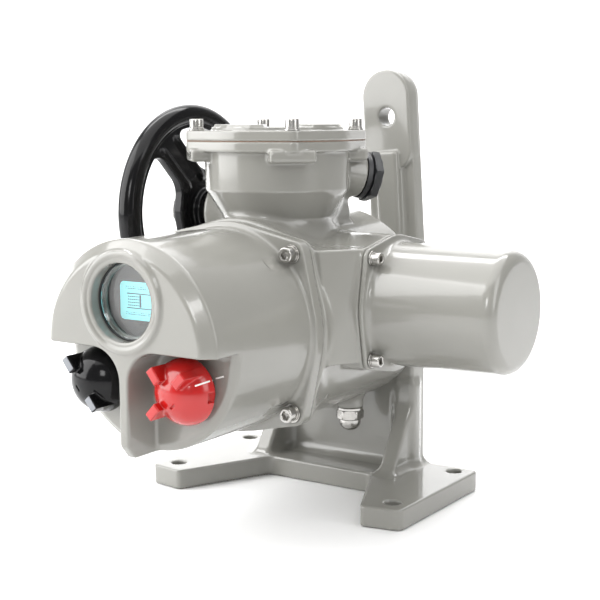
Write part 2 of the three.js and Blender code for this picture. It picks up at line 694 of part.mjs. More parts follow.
piece("motor_stator", ring("x", [0, MOTOR_Y, MOTOR_Z], 94, 148, 19.5, 34.1, LARGE), copper());
piece("motor_rotor", ring("x", [0, MOTOR_Y, MOTOR_Z], 98, 144, 8 + GAP, 18.9, MIDDLE), steel());

function motorShaft() {
  return turned("x", [0, MOTOR_Y, MOTOR_Z], [
    [0, SIDE_X - 2],
    [4, SIDE_X - 2],
    [4, 48],
    [8, 49],
    [8, 154],
    [6, 155],
    [6, 163],
    [0, 163],
  ], 24);
}
piece("motor_shaft", motorShaft(), steel());
piece("motor_bearing_front", bearing("x", [0, MOTOR_Y, MOTOR_Z], 72, 80, 8.05, 31.6), steel());
piece("motor_bearing_rear", bearing("x", [0, MOTOR_Y, MOTOR_Z], 156, 161, 6.05, 29), steel());

// ---------------------------------------------------------------- output shaft, stops and lever
function outputShaft() {
  const round = turned("y", [0, 0, 0], [
    [0, WORM_Y - 9],
    [SHAFT_R, WORM_Y - 9],
    [SHAFT_R, WORM_Y + 6.5],
    [SHAFT_R + 2, WORM_Y + 6.5],
    [SHAFT_R + 2, WORM_Y + 14],
    [SHAFT_R, WORM_Y + 14],
    [SHAFT_R, LEVER_REAR_Y + 1.5],
    [0, LEVER_REAR_Y + 1.5],
  ], MIDDLE);
  const flats = [-1, 1].map((side) => {
    const z = side > 0 ? [9, 20] : [-20, -9];
    return block([-20, 20], [LEVER_FACE_Y - 8, LEVER_REAR_Y + 5], z);
  });
  const thread = bar("y", [0, 0, 0], LEVER_REAR_Y - 24, LEVER_REAR_Y + 5, 4.3, 12);
  return cut(round, ...flats, thread);
}
piece("output_shaft", outputShaft(), steel(), turning);

// A disc with a raised upper half; its two shoulders come down on the stop screws at the ends of travel.
function stopCam() {
  const shape = new THREE.Shape();
  const rise = TRAVEL_HALF * DEG - Math.acos(CAM_R / CAM_LOBE_R);
  shape.absarc(0, 0, CAM_LOBE_R, -rise, Math.PI + rise);
  shape.absarc(0, 0, CAM_R, Math.PI + TRAVEL_HALF * DEG, 2 * Math.PI - TRAVEL_HALF * DEG);
  shape.closePath();
  shape.detail = 10;
  const bore = drill("y", [0, 0, 0], CAM_Y[0] - 1, CAM_Y[1] + 1, SHAFT_R + GAP);
  return slab("xz", shape, CAM_Y[0], CAM_Y[1], 0.5).subtract(bore);
}
piece("stop_cam", stopCam(), steel(), turning);

// At the end of travel a shoulder of the cam lies level just above the screw's tip.
const STOP_TIP_Z = OUTPUT_Z - CAM_R - 0.4;
function stopScrew(side) {
  const at = [side * STOP_X, STOP_Y, 0];
  return turned("z", at, [
    [0, 47],
    [STOP_R, 47],
    [STOP_R, STOP_TIP_Z - 1],
    [STOP_R - 1, STOP_TIP_Z],
    [0, STOP_TIP_Z],
  ], SMALL);
}

function capNut(side) {
  const at = [side * STOP_X, STOP_Y, 0];
  const hex = bar("z", at, 50.5, 57.3, 9.6, 6);
  const collar = bar("z", at, 57, 59.6, 9.2, 24);
  const dome = turned("z", at, [
    [0, 43],
    [3.2, 43.4],
    [6, 45],
    [7.5, 47.6],
    [7.8, 50.6],
    [7.8, 52],
    [0, 52],
  ], 24);
  return union(hex, collar, dome).subtract(drill("z", at, 46.5, 60, STOP_R + GAP, 12));
}
[["left", -1], ["right", 1]].forEach(([label, side]) => {
  piece(`stop_screw_${label}`, stopScrew(side), steel());
  piece(`stop_cap_nut_${label}`, capNut(side), steel());
});

const shaftAt = [0, 0, OUTPUT_Z];
const frontBearing = bearing("y", shaftAt, -20, REAR_FACE_Y, SHAFT_R + 0.05, BEARING_R);
piece("output_bearing_front", frontBearing, steel());

// The tube behind the stand that carries the outer bearing.
function outputTube() {
  const outer = turned("y", shaftAt, [
    [0, -STAND_HALF_T + GAP],
    [29.6, -STAND_HALF_T + GAP],
    [29.6, STAND_HALF_T + GAP],
    [47, STAND_HALF_T + GAP],
    [47, STAND_HALF_T + 8],
    [33, STAND_HALF_T + 11],
    [30, TUBE_END - 1],
    [29, TUBE_END],
    [0, TUBE_END],
  ], LARGE);
  const inner = turned("y", shaftAt, [
    [0, -STAND_HALF_T - 1],
    [24, -STAND_HALF_T - 1],
    [24, TUBE_END - 16],
    [BEARING_R + GAP, TUBE_END - 16],
    [BEARING_R + GAP, TUBE_END + 1],
    [0, TUBE_END + 1],
  ], MIDDLE);
  return outer.subtract(inner);
}
piece("output_tube", outputTube(), paint());
const rearBearing = bearing("y", shaftAt, TUBE_END - 12, TUBE_END - 3, SHAFT_R + 0.05, BEARING_R);
piece("output_bearing_rear", rearBearing, steel());

// The lever's own frame: its hole is LEVER_HOLE above the shaft.
function leverArm() {
  const top = LEVER_HOLE + 17;
  const outline = belt([0, 0, LEVER_HALF], [0, top - 1, LEVER_HALF], 9);
  const plate = slab("xz", outline, LEVER_FACE_Y + 3, LEVER_REAR_Y, 0.8);
  const bossOutline = belt([0, LEVER_HOLE - 13.5, LEVER_HALF], [0, top - 1, LEVER_HALF], 9);
  const boss = slab("xz", bossOutline, LEVER_FACE_Y, LEVER_REAR_Y - 4, 0.8);
  const ribSection = rounded([
    [-11, LEVER_FACE_Y + 5],
    [-10, LEVER_FACE_Y - 6, 9],
    [10, LEVER_FACE_Y - 6, 9],
    [11, LEVER_FACE_Y + 5],
  ], 4);
  const rib = slab("xy", ribSection, 10, LEVER_HOLE - 26);
  const hub = slab("xz", circle(0, 0, 31, MIDDLE), LEVER_FACE_Y - 7, LEVER_REAR_Y, 1);
  const eye = drill("y", [0, 0, LEVER_HOLE], LEVER_FACE_Y - 5, LEVER_REAR_Y + 5, LEVER_HOLE_R, 24);
  const bore = drill("y", [0, 0, 0], LEVER_FACE_Y - 20, LEVER_REAR_Y + 5, SHAFT_R + GAP, 28).subtract(
    union(
      block([-20, 20], [LEVER_FACE_Y - 30, LEVER_REAR_Y + 9], [9 + GAP, 20]),
      block([-20, 20], [LEVER_FACE_Y - 30, LEVER_REAR_Y + 9], [-20, -9 - GAP]),
    ),
  );
  return cut(union(plate, boss, rib, hub), eye, bore);
}
piece("lever_arm", leverArm(), paint(), turning);

function leverScrew() {
  return capScrew(8, 20).transform(new THREE.Matrix4().makeTranslation(0, LEVER_REAR_Y + 5.1, 0).elements);
}
piece("lever_screw", leverScrew(), steel(), turning);
const leverWasher = ring("y", [0, 0, 0], LEVER_REAR_Y + 1.8, LEVER_REAR_Y + 4.8, 4.5, 17);
piece("lever_washer", leverWasher, steel(), turning);

// ---------------------------------------------------------------- handwheel
const spokeAngles = [2, 122, 242];
const onCircle = (radius, angle) =>
  new THREE.Vector2(radius * Math.cos(angle * DEG), radius * Math.sin(angle * DEG));

function handwheel() {
  const at = [WHEEL_X, WORM_Y, WORM_Z];
  const rim = [];
  for (let i = 0; i <= 8; i++) {
    const a = (i / 8) * 2 * Math.PI;
    rim.push([WHEEL_RIM_R + WHEEL_TUBE_R * Math.cos(a), WHEEL_TUBE_R * Math.sin(a)]);
  }
  const web = turned("x", at, [
    [0, -5],
    [17, -5],
    [18, 3],
    [WINDOW_IN, 4],
    [WHEEL_RIM_R - 5, -4],
    [WHEEL_RIM_R - 3, -4],
    [WHEEL_RIM_R - 3, 4],
    [WINDOW_IN, 12],
    [20, 13],
    [17, 20],
    [0, 20],
  ], LARGE);
  const windows = spokeAngles.map((spoke) => {
    const points = [];
    for (const [r, steps] of [[WINDOW_OUT, 8], [WINDOW_IN, -4]]) {
      const start = spoke + Math.asin(SPOKE_HALF / r) / DEG;
      const span = 120 - 2 * (start - spoke);
      for (let i = 0; i <= Math.abs(steps); i++) {
        const share = steps > 0 ? i / steps : 1 + i / steps;
        const ends = i === 0 || i === Math.abs(steps);
        const p = onCircle(r, start + span * share);
        points.push([p.x, p.y, ends ? (steps > 0 ? 9 : 5) : 0]);
      }
    }
    return slab("yz", rounded(points, 4), WHEEL_X - 20, WHEEL_X + 20).translate([0, WORM_Y, WORM_Z]);
  });
  const ribs = spokeAngles.flatMap((a) =>
    [-1, 1].map((side) => {
      const slope = slab("xz", new THREE.Shape([[19, 8], [19, 14], [WHEEL_RIM_R - 4, 6], [WHEEL_RIM_R - 4, 0]].map(
        ([r, x]) => new THREE.Vector2(WHEEL_X + x, r),
      )), side * 8.5 - 1.5, side * 8.5 + 1.5);
      const matrix = new THREE.Matrix4().makeRotationX((a - 90) * DEG);
      matrix.setPosition(0, WORM_Y, WORM_Z);
      return slope.transform(matrix.elements);
    }),
  );
  const body = cut(web, ...windows);
  const bore = drill("x", at, -30, 30, 6 + GAP, 24);
  return cut(union(turned("x", at, rim, LARGE), body, ...ribs), bore);
}
piece("handwheel", handwheel(), black());

function handwheelNut() {
  const at = [0, WORM_Y, WORM_Z];
  const hex = bar("x", at, WHEEL_X - 12.6, WHEEL_X - 5.3, 10.4, 6);
  return hex.subtract(drill("x", at, WHEEL_X - 20, WHEEL_X, 6 + GAP, 24));
}
piece("handwheel_nut", handwheelNut(), steel());

// ---------------------------------------------------------------- control head
function pocket(side) {
  const u = (x) => x * side;
  const points = [
    [u(PILLAR_HALF), OUTPUT_Z + 0.5, 20],
    [u(PILLAR_HALF), OUTPUT_Z - 90],
    [u(90), OUTPUT_Z - 90],
    [u(90), OUTPUT_Z + 0.5],
  ];
  if (side > 0) points.reverse();
  return slab("xz", rounded(points, 6), HEAD_FRONT - 5, HEAD_FRONT + POCKET_DEPTH);
}

function controlCover() {
  const shell = turned("y", shaftAt, [
    [0, HEAD_FRONT],
    [57, HEAD_FRONT],
    [HEAD_R - 2, HEAD_FRONT + 3.5],
    [HEAD_R, HEAD_FRONT + 6.5],
    [HEAD_R + 0.6, PARTING_Y - HEAD_FLANGE_T - 4],
    [HEAD_R + 2.5, PARTING_Y - HEAD_FLANGE_T + 1],
    [HEAD_R + 2.5, PARTING_Y - GAP - 1],
    [0, PARTING_Y - GAP - 1],
  ], LARGE);
  const flange = slab("xz", headOutline(), PARTING_Y - HEAD_FLANGE_T, PARTING_Y - GAP, 1);
  const bezel = turned("y", [0, 0, WINDOW_Z], [
    [0, HEAD_FRONT + 1],
    [WINDOW_BEZEL_R, HEAD_FRONT + 1],
    [WINDOW_BEZEL_R - 1, HEAD_FRONT - 1.6],
    [0, HEAD_FRONT - 1.6],
  ], LARGE);
  const room = bar("y", shaftAt, HEAD_FRONT + POCKET_DEPTH + 6, PARTING_Y + 1, 58.5, LARGE);
  const windowAt = [0, 0, WINDOW_Z];
  const displayRoom = bar("y", windowAt, HEAD_FRONT + 14, HEAD_FRONT + POCKET_DEPTH + 8, 28, LARGE);
  const windowWell = turned("y", [0, 0, WINDOW_Z], [
    [0, HEAD_FRONT - 3],
    [WINDOW_R + 1.2, HEAD_FRONT - 3],
    [WINDOW_R, HEAD_FRONT + 1],
    [WINDOW_R, HEAD_FRONT + 14 - 2.5],
    [21, HEAD_FRONT + 14 - 2.5],
    [21, HEAD_FRONT + 15],
    [0, HEAD_FRONT + 15],
  ], LARGE);
  const flangeFace = PARTING_Y - HEAD_FLANGE_T;
  const screwsAt = corners(SCREW_PITCH, SCREW_PITCH).map(([x, z]) => [x, 0, OUTPUT_Z + z]);
  const scoops = screwsAt.map((at) => bar("y", at, flangeFace - 12, flangeFace, 7, SMALL));
  const screwHoles = screwsAt.map((at) => bar("y", at, flangeFace - 1, PARTING_Y + 1, 3.3, 10));
  const pocketWall = HEAD_FRONT + POCKET_DEPTH;
  const pinHoles = [-1, 1].map((side) =>
    bar("y", [side * KNOB_X, 0, KNOB_Z], pocketWall - 1, pocketWall + 4.5, 3.3, 12),
  );
  const pip = bar("y", PIP_AT, flangeFace - 20, flangeFace, 4, 12);
  const body = cut(union(shell, bezel), pocket(-1), pocket(1), room, displayRoom, windowWell, ...scoops);
  return cut(union(body, flange.subtract(room), pip.subtract(room)), ...screwHoles, ...pinHoles);
}
piece("control_cover", controlCover(), paint());

corners(SCREW_PITCH, SCREW_PITCH).forEach(([x, z], i) => {
  const face = PARTING_Y - HEAD_FLANGE_T;
  const at = [x, face - GAP - 1.9, OUTPUT_Z + z];
  piece(`control_screw_${i + 1}`, aimed(capScrew(6, 18), [0, -1, 0], at), steel());
});

piece("head_seal", ring("y", shaftAt, PARTING_Y - 3.4, PARTING_Y - 0.4, 56.2, 58.2, LARGE), rubber());
const windowFrom = (from, to) => ["y", [0, 0, WINDOW_Z], HEAD_FRONT + from, HEAD_FRONT + to];
piece("window_glass", bar(...windowFrom(7.8, 11.2), WINDOW_R - GAP, LARGE), glass());
piece("window_seal", ring(...windowFrom(5.4, 7.5), 21.8, WINDOW_R - GAP, LARGE), rubber());

function displayModule() {
  const body = bar("y", [0, 0, WINDOW_Z], DISPLAY_Y, DISPLAY_Y + 7, 27, LARGE);
  const half = SCREEN_HALF_X + GAP;
  const zs = SCREEN_Z.map((z, i) => WINDOW_Z + z + (i ? GAP : -GAP));
  return body.subtract(block([-half, half], [DISPLAY_Y - 1, DISPLAY_Y + 1.2], zs));
}
piece("display_module", displayModule(), black());

function displayScreen() {
  const zs = SCREEN_Z.map((z) => WINDOW_Z + z);
  return block([-SCREEN_HALF_X, SCREEN_HALF_X], [DISPLAY_Y - 0.2, DISPLAY_Y + 0.8], zs);
}
piece("display_screen", displayScreen(), screen());

function controlBoard() {
  const face = HEAD_FRONT + POCKET_DEPTH + 14;
  const chips = [[-30, 14, 16, 12], [12, -26, 20, 9], [-18, -28, 12, 6], [24, 10, 14, 14]];
  const parts = chips.map(([x, z, width, height]) =>
    block([x, x + width], [face + 1, face + 9], [OUTPUT_Z + z, OUTPUT_Z + z + height]),
  );
  return union(bar("y", shaftAt, face, face + 1.8, 54, LARGE), ...parts);
}
piece("control_board", controlBoard(), board());

const KNOB_BACK = HEAD_FRONT + POCKET_DEPTH - KNOB_STEM;

// A domed knob on a short stem, with a radial block on its face at each angle.
function knob(side, angles) {
  const at = [side * KNOB_X, 0, KNOB_Z];
  const profile = [[0, KNOB_BACK - KNOB_DOME]];
  for (let i = 1; i <= 8; i++) {
    const a = (i / 8) * 90 * DEG;
    profile.push([KNOB_R * Math.sin(a), KNOB_BACK - KNOB_DOME * Math.cos(a)]);
  }
  profile.push([16.5, KNOB_BACK + 0.3], [16.5, KNOB_BACK + KNOB_STEM - 0.8], [0, KNOB_BACK + KNOB_STEM - 0.8]);
  const dome = turned("y", at, profile, MIDDLE);
  const blocks = angles.map((a) => {
    const bar = block([9, 18.8], [KNOB_BACK - 21.2, KNOB_BACK - 1], [-2.8, 2.8]);
    const matrix = new THREE.Matrix4().makeRotationY(-a * DEG);
    matrix.setPosition(...at);
    return bar.transform(matrix.elements);
  });
  const bore = drill("y", at, KNOB_BACK - 12, KNOB_BACK + KNOB_STEM, 3.05, SMALL);
  return cut(union(dome, ...blocks), bore);
}
piece("red_knob", knob(1, [46, 128, 227]), red());
piece("black_knob", knob(-1, [128, 308]), black());
[["red", 1], ["black", -1]].forEach(([label, side]) => {
  const at = [side * KNOB_X, 0, KNOB_Z];
  const wall = HEAD_FRONT + POCKET_DEPTH;
  piece(`${label}_knob_pin`, bar("y", at, wall - 11, wall + 4.2, 3, SMALL), steel());
});

// ---------------------------------------------------------------- terminal compartment
function terminalCover() {
  const z0 = TERMINAL_TOP + 0.8;
  const flange = slab("xy", lidOutline(), z0, z0 + LID_T - 0.5, 0.6);
  const crown = turned("z", [0, TERMINAL_Y, 0], [
    [0, z0 + 2],
    [46, z0 + 2],
    [46, z0 + LID_T - 0.5],
    [38, z0 + LID_T + 3.2],
    [0, z0 + LID_T + 3.2],
  ], LARGE);
  const holes = corners(LID_SCREW, LID_SCREW).map(([x, y]) =>
    bar("z", [x, TERMINAL_Y + y, 0], z0 - 1, z0 + 12, 2.8, 10),
  );
  const seats = corners(LID_SCREW, LID_SCREW).map(([x, y]) =>
    bar("z", [x, TERMINAL_Y + y, 0], z0 + LID_T - 0.5, z0 + 18, 6, SMALL),
  );
  const under = bar("z", [0, TERMINAL_Y, 0], z0 - 1, z0 + 3, 42, MIDDLE);
  return cut(union(flange, crown), ...holes, ...seats, under);
}
piece("terminal_cover", terminalCover(), paint());
corners(LID_SCREW, LID_SCREW).forEach(([x, y], i) => {
  const at = [x, TERMINAL_Y + y, TERMINAL_TOP + 0.3 + LID_T + 1.6];
  piece(`terminal_screw_${i + 1}`, aimed(capScrew(5, 16), [0, 0, 1], at), steel());
});
const terminalAt = [0, TERMINAL_Y, 0];
const gasket = ring("z", terminalAt, TERMINAL_TOP + 0.15, TERMINAL_TOP + 0.65, 44, 49.5, LARGE);
piece("terminal_gasket", gasket, rubber());

function terminalBlock() {
  const base = block([-30, 30], [TERMINAL_Y - 24, TERMINAL_Y - 2], [214.3, 221]);
  const upper = block([-30, 30], [TERMINAL_Y - 19, TERMINAL_Y - 7], [220, 236]);
  const wells = [];
  for (let i = 0; i < 6; i++) wells.push(bar("z", [-25 + i * 10, TERMINAL_Y - 13, 0], 231, 237, 2.6, 6));
  const wireWay = bar("z", [0, TERMINAL_Y - 24, 0], 200, 240, 7.5, 14);
  return cut(union(base, upper), ...wells, wireWay);
}
piece("terminal_block", terminalBlock(), black());

function cablePlug() {
  const hex = alongCable(64.4, 72, CABLE_BOSS_R + 2.5, 6);
  const collar = alongCable(61.3, 65, CABLE_BOSS_R + 0.5, MIDDLE);
  const thread = alongCable(48, 62, 8.6, SMALL);
  return union(hex, collar, thread);
}
piece("cable_plug", cablePlug(), black());

export default actuator;
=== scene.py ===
import json
import math

import bpy
import numpy as np
from mathutils import Matrix, Vector


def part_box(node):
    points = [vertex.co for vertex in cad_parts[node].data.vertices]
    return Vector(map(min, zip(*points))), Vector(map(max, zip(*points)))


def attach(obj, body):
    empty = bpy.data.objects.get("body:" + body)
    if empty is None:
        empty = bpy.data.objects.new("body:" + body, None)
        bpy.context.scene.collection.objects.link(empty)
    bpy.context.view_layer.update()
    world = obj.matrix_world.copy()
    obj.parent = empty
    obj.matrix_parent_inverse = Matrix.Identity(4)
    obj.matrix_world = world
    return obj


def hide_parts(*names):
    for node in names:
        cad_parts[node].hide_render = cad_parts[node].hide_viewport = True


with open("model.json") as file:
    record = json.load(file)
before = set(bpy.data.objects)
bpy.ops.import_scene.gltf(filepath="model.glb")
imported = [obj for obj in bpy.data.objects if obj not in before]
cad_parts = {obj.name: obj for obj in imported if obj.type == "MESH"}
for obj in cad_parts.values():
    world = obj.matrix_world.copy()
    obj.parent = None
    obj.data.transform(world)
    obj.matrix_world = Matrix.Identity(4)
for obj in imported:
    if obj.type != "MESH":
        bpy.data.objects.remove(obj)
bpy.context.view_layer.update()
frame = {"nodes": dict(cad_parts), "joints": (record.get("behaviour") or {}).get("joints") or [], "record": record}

MM = 0.001
X, Y, Z = 0, 1, 2
FINE = 1.0      # voxel scale


# ------------------------------------------------------------------ where things are, in mm
def box_mm(node):
    lo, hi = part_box(node)
    return np.array(lo) / MM, np.array(hi) / MM


def joint_at(name):
    found = next(j for j in frame["joints"] if j["name"] == name)
    return np.array(found["pos_m"], float) / MM


OUT = joint_at("output_turn")          # output shaft, along Y
OUT_Z = OUT[2]
WORM = joint_at("worm_turn")           # worm and handwheel shaft, along X
MOTOR = joint_at("motor_turn")         # motor shaft, along X
IDLER = joint_at("idler_turn")
RED = joint_at("red_knob_turn")
BLACK = joint_at("black_knob_turn")
HEAD_LO, HEAD_HI = box_mm("control_cover")
CASE_LO, CASE_HI = box_mm("gear_housing")
FOOT_LO, FOOT_HI = box_mm("base_stand")
COVER_LO, COVER_HI = box_mm("motor_cover")
LID_LO, LID_HI = box_mm("terminal_cover")
GLASS_LO, GLASS_HI = box_mm("window_glass")
WHEEL_LO, WHEEL_HI = box_mm("handwheel")
ARM_LO, ARM_HI = box_mm("lever_arm")
TUBE_LO, TUBE_HI = box_mm("output_tube")
WINDOW = (GLASS_LO + GLASS_HI) / 2
TERM_Y = (LID_LO[1] + LID_HI[1]) / 2
TERM_TOP = LID_LO[2] - 0.8
FRONT = HEAD_LO[1] + 1.6               # flat front face of the control head
PART_Y = HEAD_HI[1] + 0.3              # joint between the head and the housing
HEAD_FLANGE = PART_Y - 9
REAR_Y = CASE_HI[1] + 0.3              # front face of the stand plate
WHEEL_X = WHEEL_LO[0] + 7.6
HEAD_SCREW = 50.3                      # half the spacing of the head's screws, both ways
MOTOR_SCREW = (33.4, 32.5)
LID_SCREW = 38.2
STOP_X, STOP_Y = 24, -36               # the two stop screws, each side of the middle
FOOT_BOLT = 90                         # the foot bolts, each side of the middle
STAND_HALF = 9                         # half the thickness of the stand's upright
LEAN = math.radians(-3.5)              # how far the lever leans from upright


def corners(u, v):
    return [(u, v), (-u, v), (-u, -v), (u, -v)]


def cos_sin(degrees):
    angle = math.radians(degrees)
    return math.cos(angle), math.sin(angle)


# ------------------------------------------------------------------ distance fields
def capped(a, b, edge):
    a = a + edge
    b = b + edge
    inner = np.minimum(np.maximum(a, b), 0)
    return inner + np.hypot(np.maximum(a, 0), np.maximum(b, 0)) - edge


def others(axis):
    return [k for k in range(3) if k != axis]


def bar(axis, at, lo, hi, r, edge=0.5, r_end=None):
    """A round bar along an axis, straight or tapering from r to r_end."""
    i, j = others(axis)

    def f(p):
        rad = np.hypot(p[i] - at[i], p[j] - at[j])
        size = r
        if r_end is not None:
            size = r + (r_end - r) * np.clip((p[axis] - lo) / (hi - lo), 0, 1)
        return capped(rad - size, np.abs(p[axis] - (lo + hi) / 2) - (hi - lo) / 2, edge)
    return f


def plate(axis, outline, lo, hi, edge=1.0):
    i, j = others(axis)

    def f(p):
        return capped(outline(p[i], p[j]), np.abs(p[axis] - (lo + hi) / 2) - (hi - lo) / 2, edge)
    return f


def brick(lo, hi, edge=1.0):
    mid = (np.array(lo, float) + hi) / 2
    half = (np.array(hi, float) - lo) / 2 - edge

    def f(p):
        q = [np.abs(p[k] - mid[k]) - half[k] for k in range(3)]
        out = np.sqrt(sum(np.maximum(c, 0) ** 2 for c in q))
        return out + np.minimum(np.maximum(np.maximum(q[0], q[1]), q[2]), 0) - edge
    return f


def spun(axis, at, points, edge=0.0):
    """A profile of (radius, position) points turned about an axis."""
    i, j = others(axis)
    outline = polygon(points)

    def f(p):
        rad = np.hypot(p[i] - at[i], p[j] - at[j])
        return outline(rad, p[axis] + 0 * rad) - edge
    return f


def placed(field, origin, x_axis, y_axis, z_axis):
    """A field in its own axes: x_axis, y_axis and z_axis are where its axes point."""
    rows = [np.array(a, float) / np.linalg.norm(a) for a in (x_axis, y_axis, z_axis)]

    def f(p):
        q = [p[k] - origin[k] for k in range(3)]
        return field([sum(r[k] * q[k] for k in range(3)) for r in rows])
    return f


def disc(cu, cv, r):
    return lambda u, v: np.hypot(u - cu, v - cv) - r


def rect(u0, u1, v0, v1, corner=0.0):
    def f(u, v):
        a = np.abs(u - (u0 + u1) / 2) - (u1 - u0) / 2 + corner
        b = np.abs(v - (v0 + v1) / 2) - (v1 - v0) / 2 + corner
        inner = np.minimum(np.maximum(a, b), 0)
        return inner + np.hypot(np.maximum(a, 0), np.maximum(b, 0)) - corner
    return f


def belt(c0, r0, c1, r1):
    """The outline around two circles."""
    c0, c1 = np.array(c0, float), np.array(c1, float)
    h = np.linalg.norm(c1 - c0)
    along = (c1 - c0) / h
    b = (r0 - r1) / h
    a = math.sqrt(1 - b * b)

    def f(u, v):
        du, dv = u - c0[0], v - c0[1]
        y = du * along[0] + dv * along[1]
        x = np.abs(dv * along[0] - du * along[1])
        k = -b * x + a * y
        d0 = np.hypot(x, y) - r0
        d1 = np.hypot(x, y - h) - r1
        side = a * x + b * y - r0
        return np.where(k < 0, d0, np.where(k > a * h, d1, side))
    return f


def cornered(cu, cv, r, half_u, half_v, corner):
    """A circle drawn out to four corners with straight sides between."""
    arms = [belt((cu, cv), r, (cu + u, cv + v), corner) for u, v in corners(half_u, half_v)]

    def f(u, v):
        return np.minimum(np.minimum(arms[0](u, v), arms[1](u, v)),
                          np.minimum(arms[2](u, v), arms[3](u, v)))
    return f


def polygon(points):
    """The distance to a closed outline of straight sides."""
    pts = np.array(points, float)

    def f(u, v):
        best = None
        sign = 1.0
        n = len(pts)
        for k in range(n):
            a, b = pts[k], pts[k - 1]
            e = b - a
            wu, wv = u - a[0], v - a[1]
            t = np.clip((wu * e[0] + wv * e[1]) / (e @ e), 0, 1)
            d = (wu - e[0] * t) ** 2 + (wv - e[1] * t) ** 2
            best = d if best is None else np.minimum(best, d)
            c0 = v >= a[1]
            c1 = v < b[1]
            c2 = e[0] * wv > e[1] * wu
            flip = (c0 & c1 & c2) | (~c0 & ~c1 & ~c2)
            sign = np.where(flip, -sign, sign)
        return sign * np.sqrt(best)
    return f


def merge(a, b, r):
    """Union of two distances with fillets of radius r."""
    return np.maximum(r, np.minimum(a, b)) - np.hypot(np.maximum(r - a, 0), np.maximum(r - b, 0))


def overlap(a, b, r):
    """Intersection of two distances with edges of radius r."""
    return np.minimum(-r, np.maximum(a, b)) + np.hypot(np.maximum(r + a, 0), np.maximum(r + b, 0))


def join(r, *fields):
    """Union with fillets of radius r."""
    def f(p):
        d = fields[0](p)
        for g in fields[1:]:
            d = merge(d, g(p), r)
        return d
    return f


def meet(r, *fields):
    """Intersection with edges of radius r."""
    def f(p):
        d = fields[0](p)
        for g in fields[1:]:
            d = overlap(d, g(p), r)
        return d
    return f


def carve(r, body, *tools):
    """Difference with edges of radius r."""
    def f(p):
        d = body(p)
        for g in tools:
            d = overlap(d, -g(p), r)
        return d
    return f


# ------------------------------------------------------------------ meshes
SHARP = math.radians(35)               # a turned piece's edges steeper than this stay sharp
# The twelve edges of a grid cell, each by its two ends.
EDGES = [((0, 0, 0), (1, 0, 0)), ((0, 1, 0), (1, 1, 0)), ((0, 0, 1), (1, 0, 1)), ((0, 1, 1), (1, 1, 1)),
         ((0, 0, 0), (0, 1, 0)), ((1, 0, 0), (1, 1, 0)), ((0, 0, 1), (0, 1, 1)), ((1, 0, 1), (1, 1, 1)),
         ((0, 0, 0), (0, 0, 1)), ((1, 0, 0), (1, 0, 1)), ((0, 1, 0), (0, 1, 1)), ((1, 1, 0), (1, 1, 1))]
MARGIN = 2.2                           # grid steps added around a piece's box
CHUNK = 1.2e6                          # grid points worked out at a time


def gradient(f, v, h=0.02):
    g = np.empty_like(v)
    for k in range(3):
        a, b = v.copy(), v.copy()
        a[:, k] += h
        b[:, k] -= h
        g[:, k] = (f(list(a.T)) - f(list(b.T))) / (2 * h)
    return g


def surface(f, lo, hi, step):
    """Vertices and quads of f = 0 inside a box, each vertex moved onto the surface."""
    step = step * FINE
    lo = np.array(lo, float) - MARGIN * step
    n = [int(math.ceil((hi[k] + MARGIN * step - lo[k]) / step)) + 1 for k in range(3)]
    ax = [lo[k] + step * np.arange(n[k]) for k in range(3)]
    field = np.empty(n, np.float32)
    chunk = max(1, int(CHUNK // (n[1] * n[2])))
    for i in range(0, n[0], chunk):
        grid = [ax[0][i:i + chunk, None, None], ax[1][None, :, None], ax[2][None, None, :]]
        field[i:i + chunk] = f(grid)
    inside = field < 0
    count = np.zeros([m - 1 for m in n], np.int8)
    for a in (0, 1):
        for b in (0, 1):
            for c in (0, 1):
                count += inside[a:n[0] - 1 + a, b:n[1] - 1 + b, c:n[2] - 1 + c]
    active = (count > 0) & (count < 8)
    cells = np.argwhere(active)
    index = np.full(active.shape, -1, np.int64)
    index[active] = np.arange(len(cells))
    total = np.zeros((len(cells), 3))
    hits = np.zeros(len(cells))
    for p, q in EDGES:
        dp = field[tuple((cells + p).T)].astype(float)
        dq = field[tuple((cells + q).T)].astype(float)
        cross = (dp < 0) != (dq < 0)
        t = np.where(cross, dp / np.where(cross, dp - dq, 1), 0)
        point = np.array(p) + t[:, None] * (np.array(q) - p)
        total[cross] += point[cross]
        hits[cross] += 1
    verts = lo + step * (cells + total / hits[:, None])
    start = verts.copy()
    for _ in range(3):
        g = gradient(f, verts)
        d = f(list(verts.T))
        move = (d / np.maximum((g * g).sum(1), 0.25))[:, None] * g
        length = np.linalg.norm(move, axis=1, keepdims=True)
        verts -= move * np.minimum(1, 0.5 * step / np.maximum(length, 1e-9))
    verts = np.clip(verts, start - 0.9 * step, start + 0.9 * step)
    quads = []
    for k in range(3):
        u, v = (k + 1) % 3, (k + 2) % 3
        a = [slice(None)] * 3
        b = [slice(None)] * 3
        a[k], b[k] = slice(0, -1), slice(1, None)
        here, there = inside[tuple(a)], inside[tuple(b)]
        points = np.argwhere(here != there)
        within = (points[:, u] > 0) & (points[:, u] < n[u] - 1)
        within &= (points[:, v] > 0) & (points[:, v] < n[v] - 1)
        points = points[within]
        out = here[tuple(points.T)]
        eu, ev = np.eye(3, dtype=int)[u], np.eye(3, dtype=int)[v]
        ring = [index[tuple((points - s).T)] for s in (eu + ev, ev, 0 * eu, eu)]
        quad = np.stack(ring, 1)
        quad[~out] = quad[~out][:, ::-1]
        quads.append(quad)
    return verts, np.concatenate(quads)


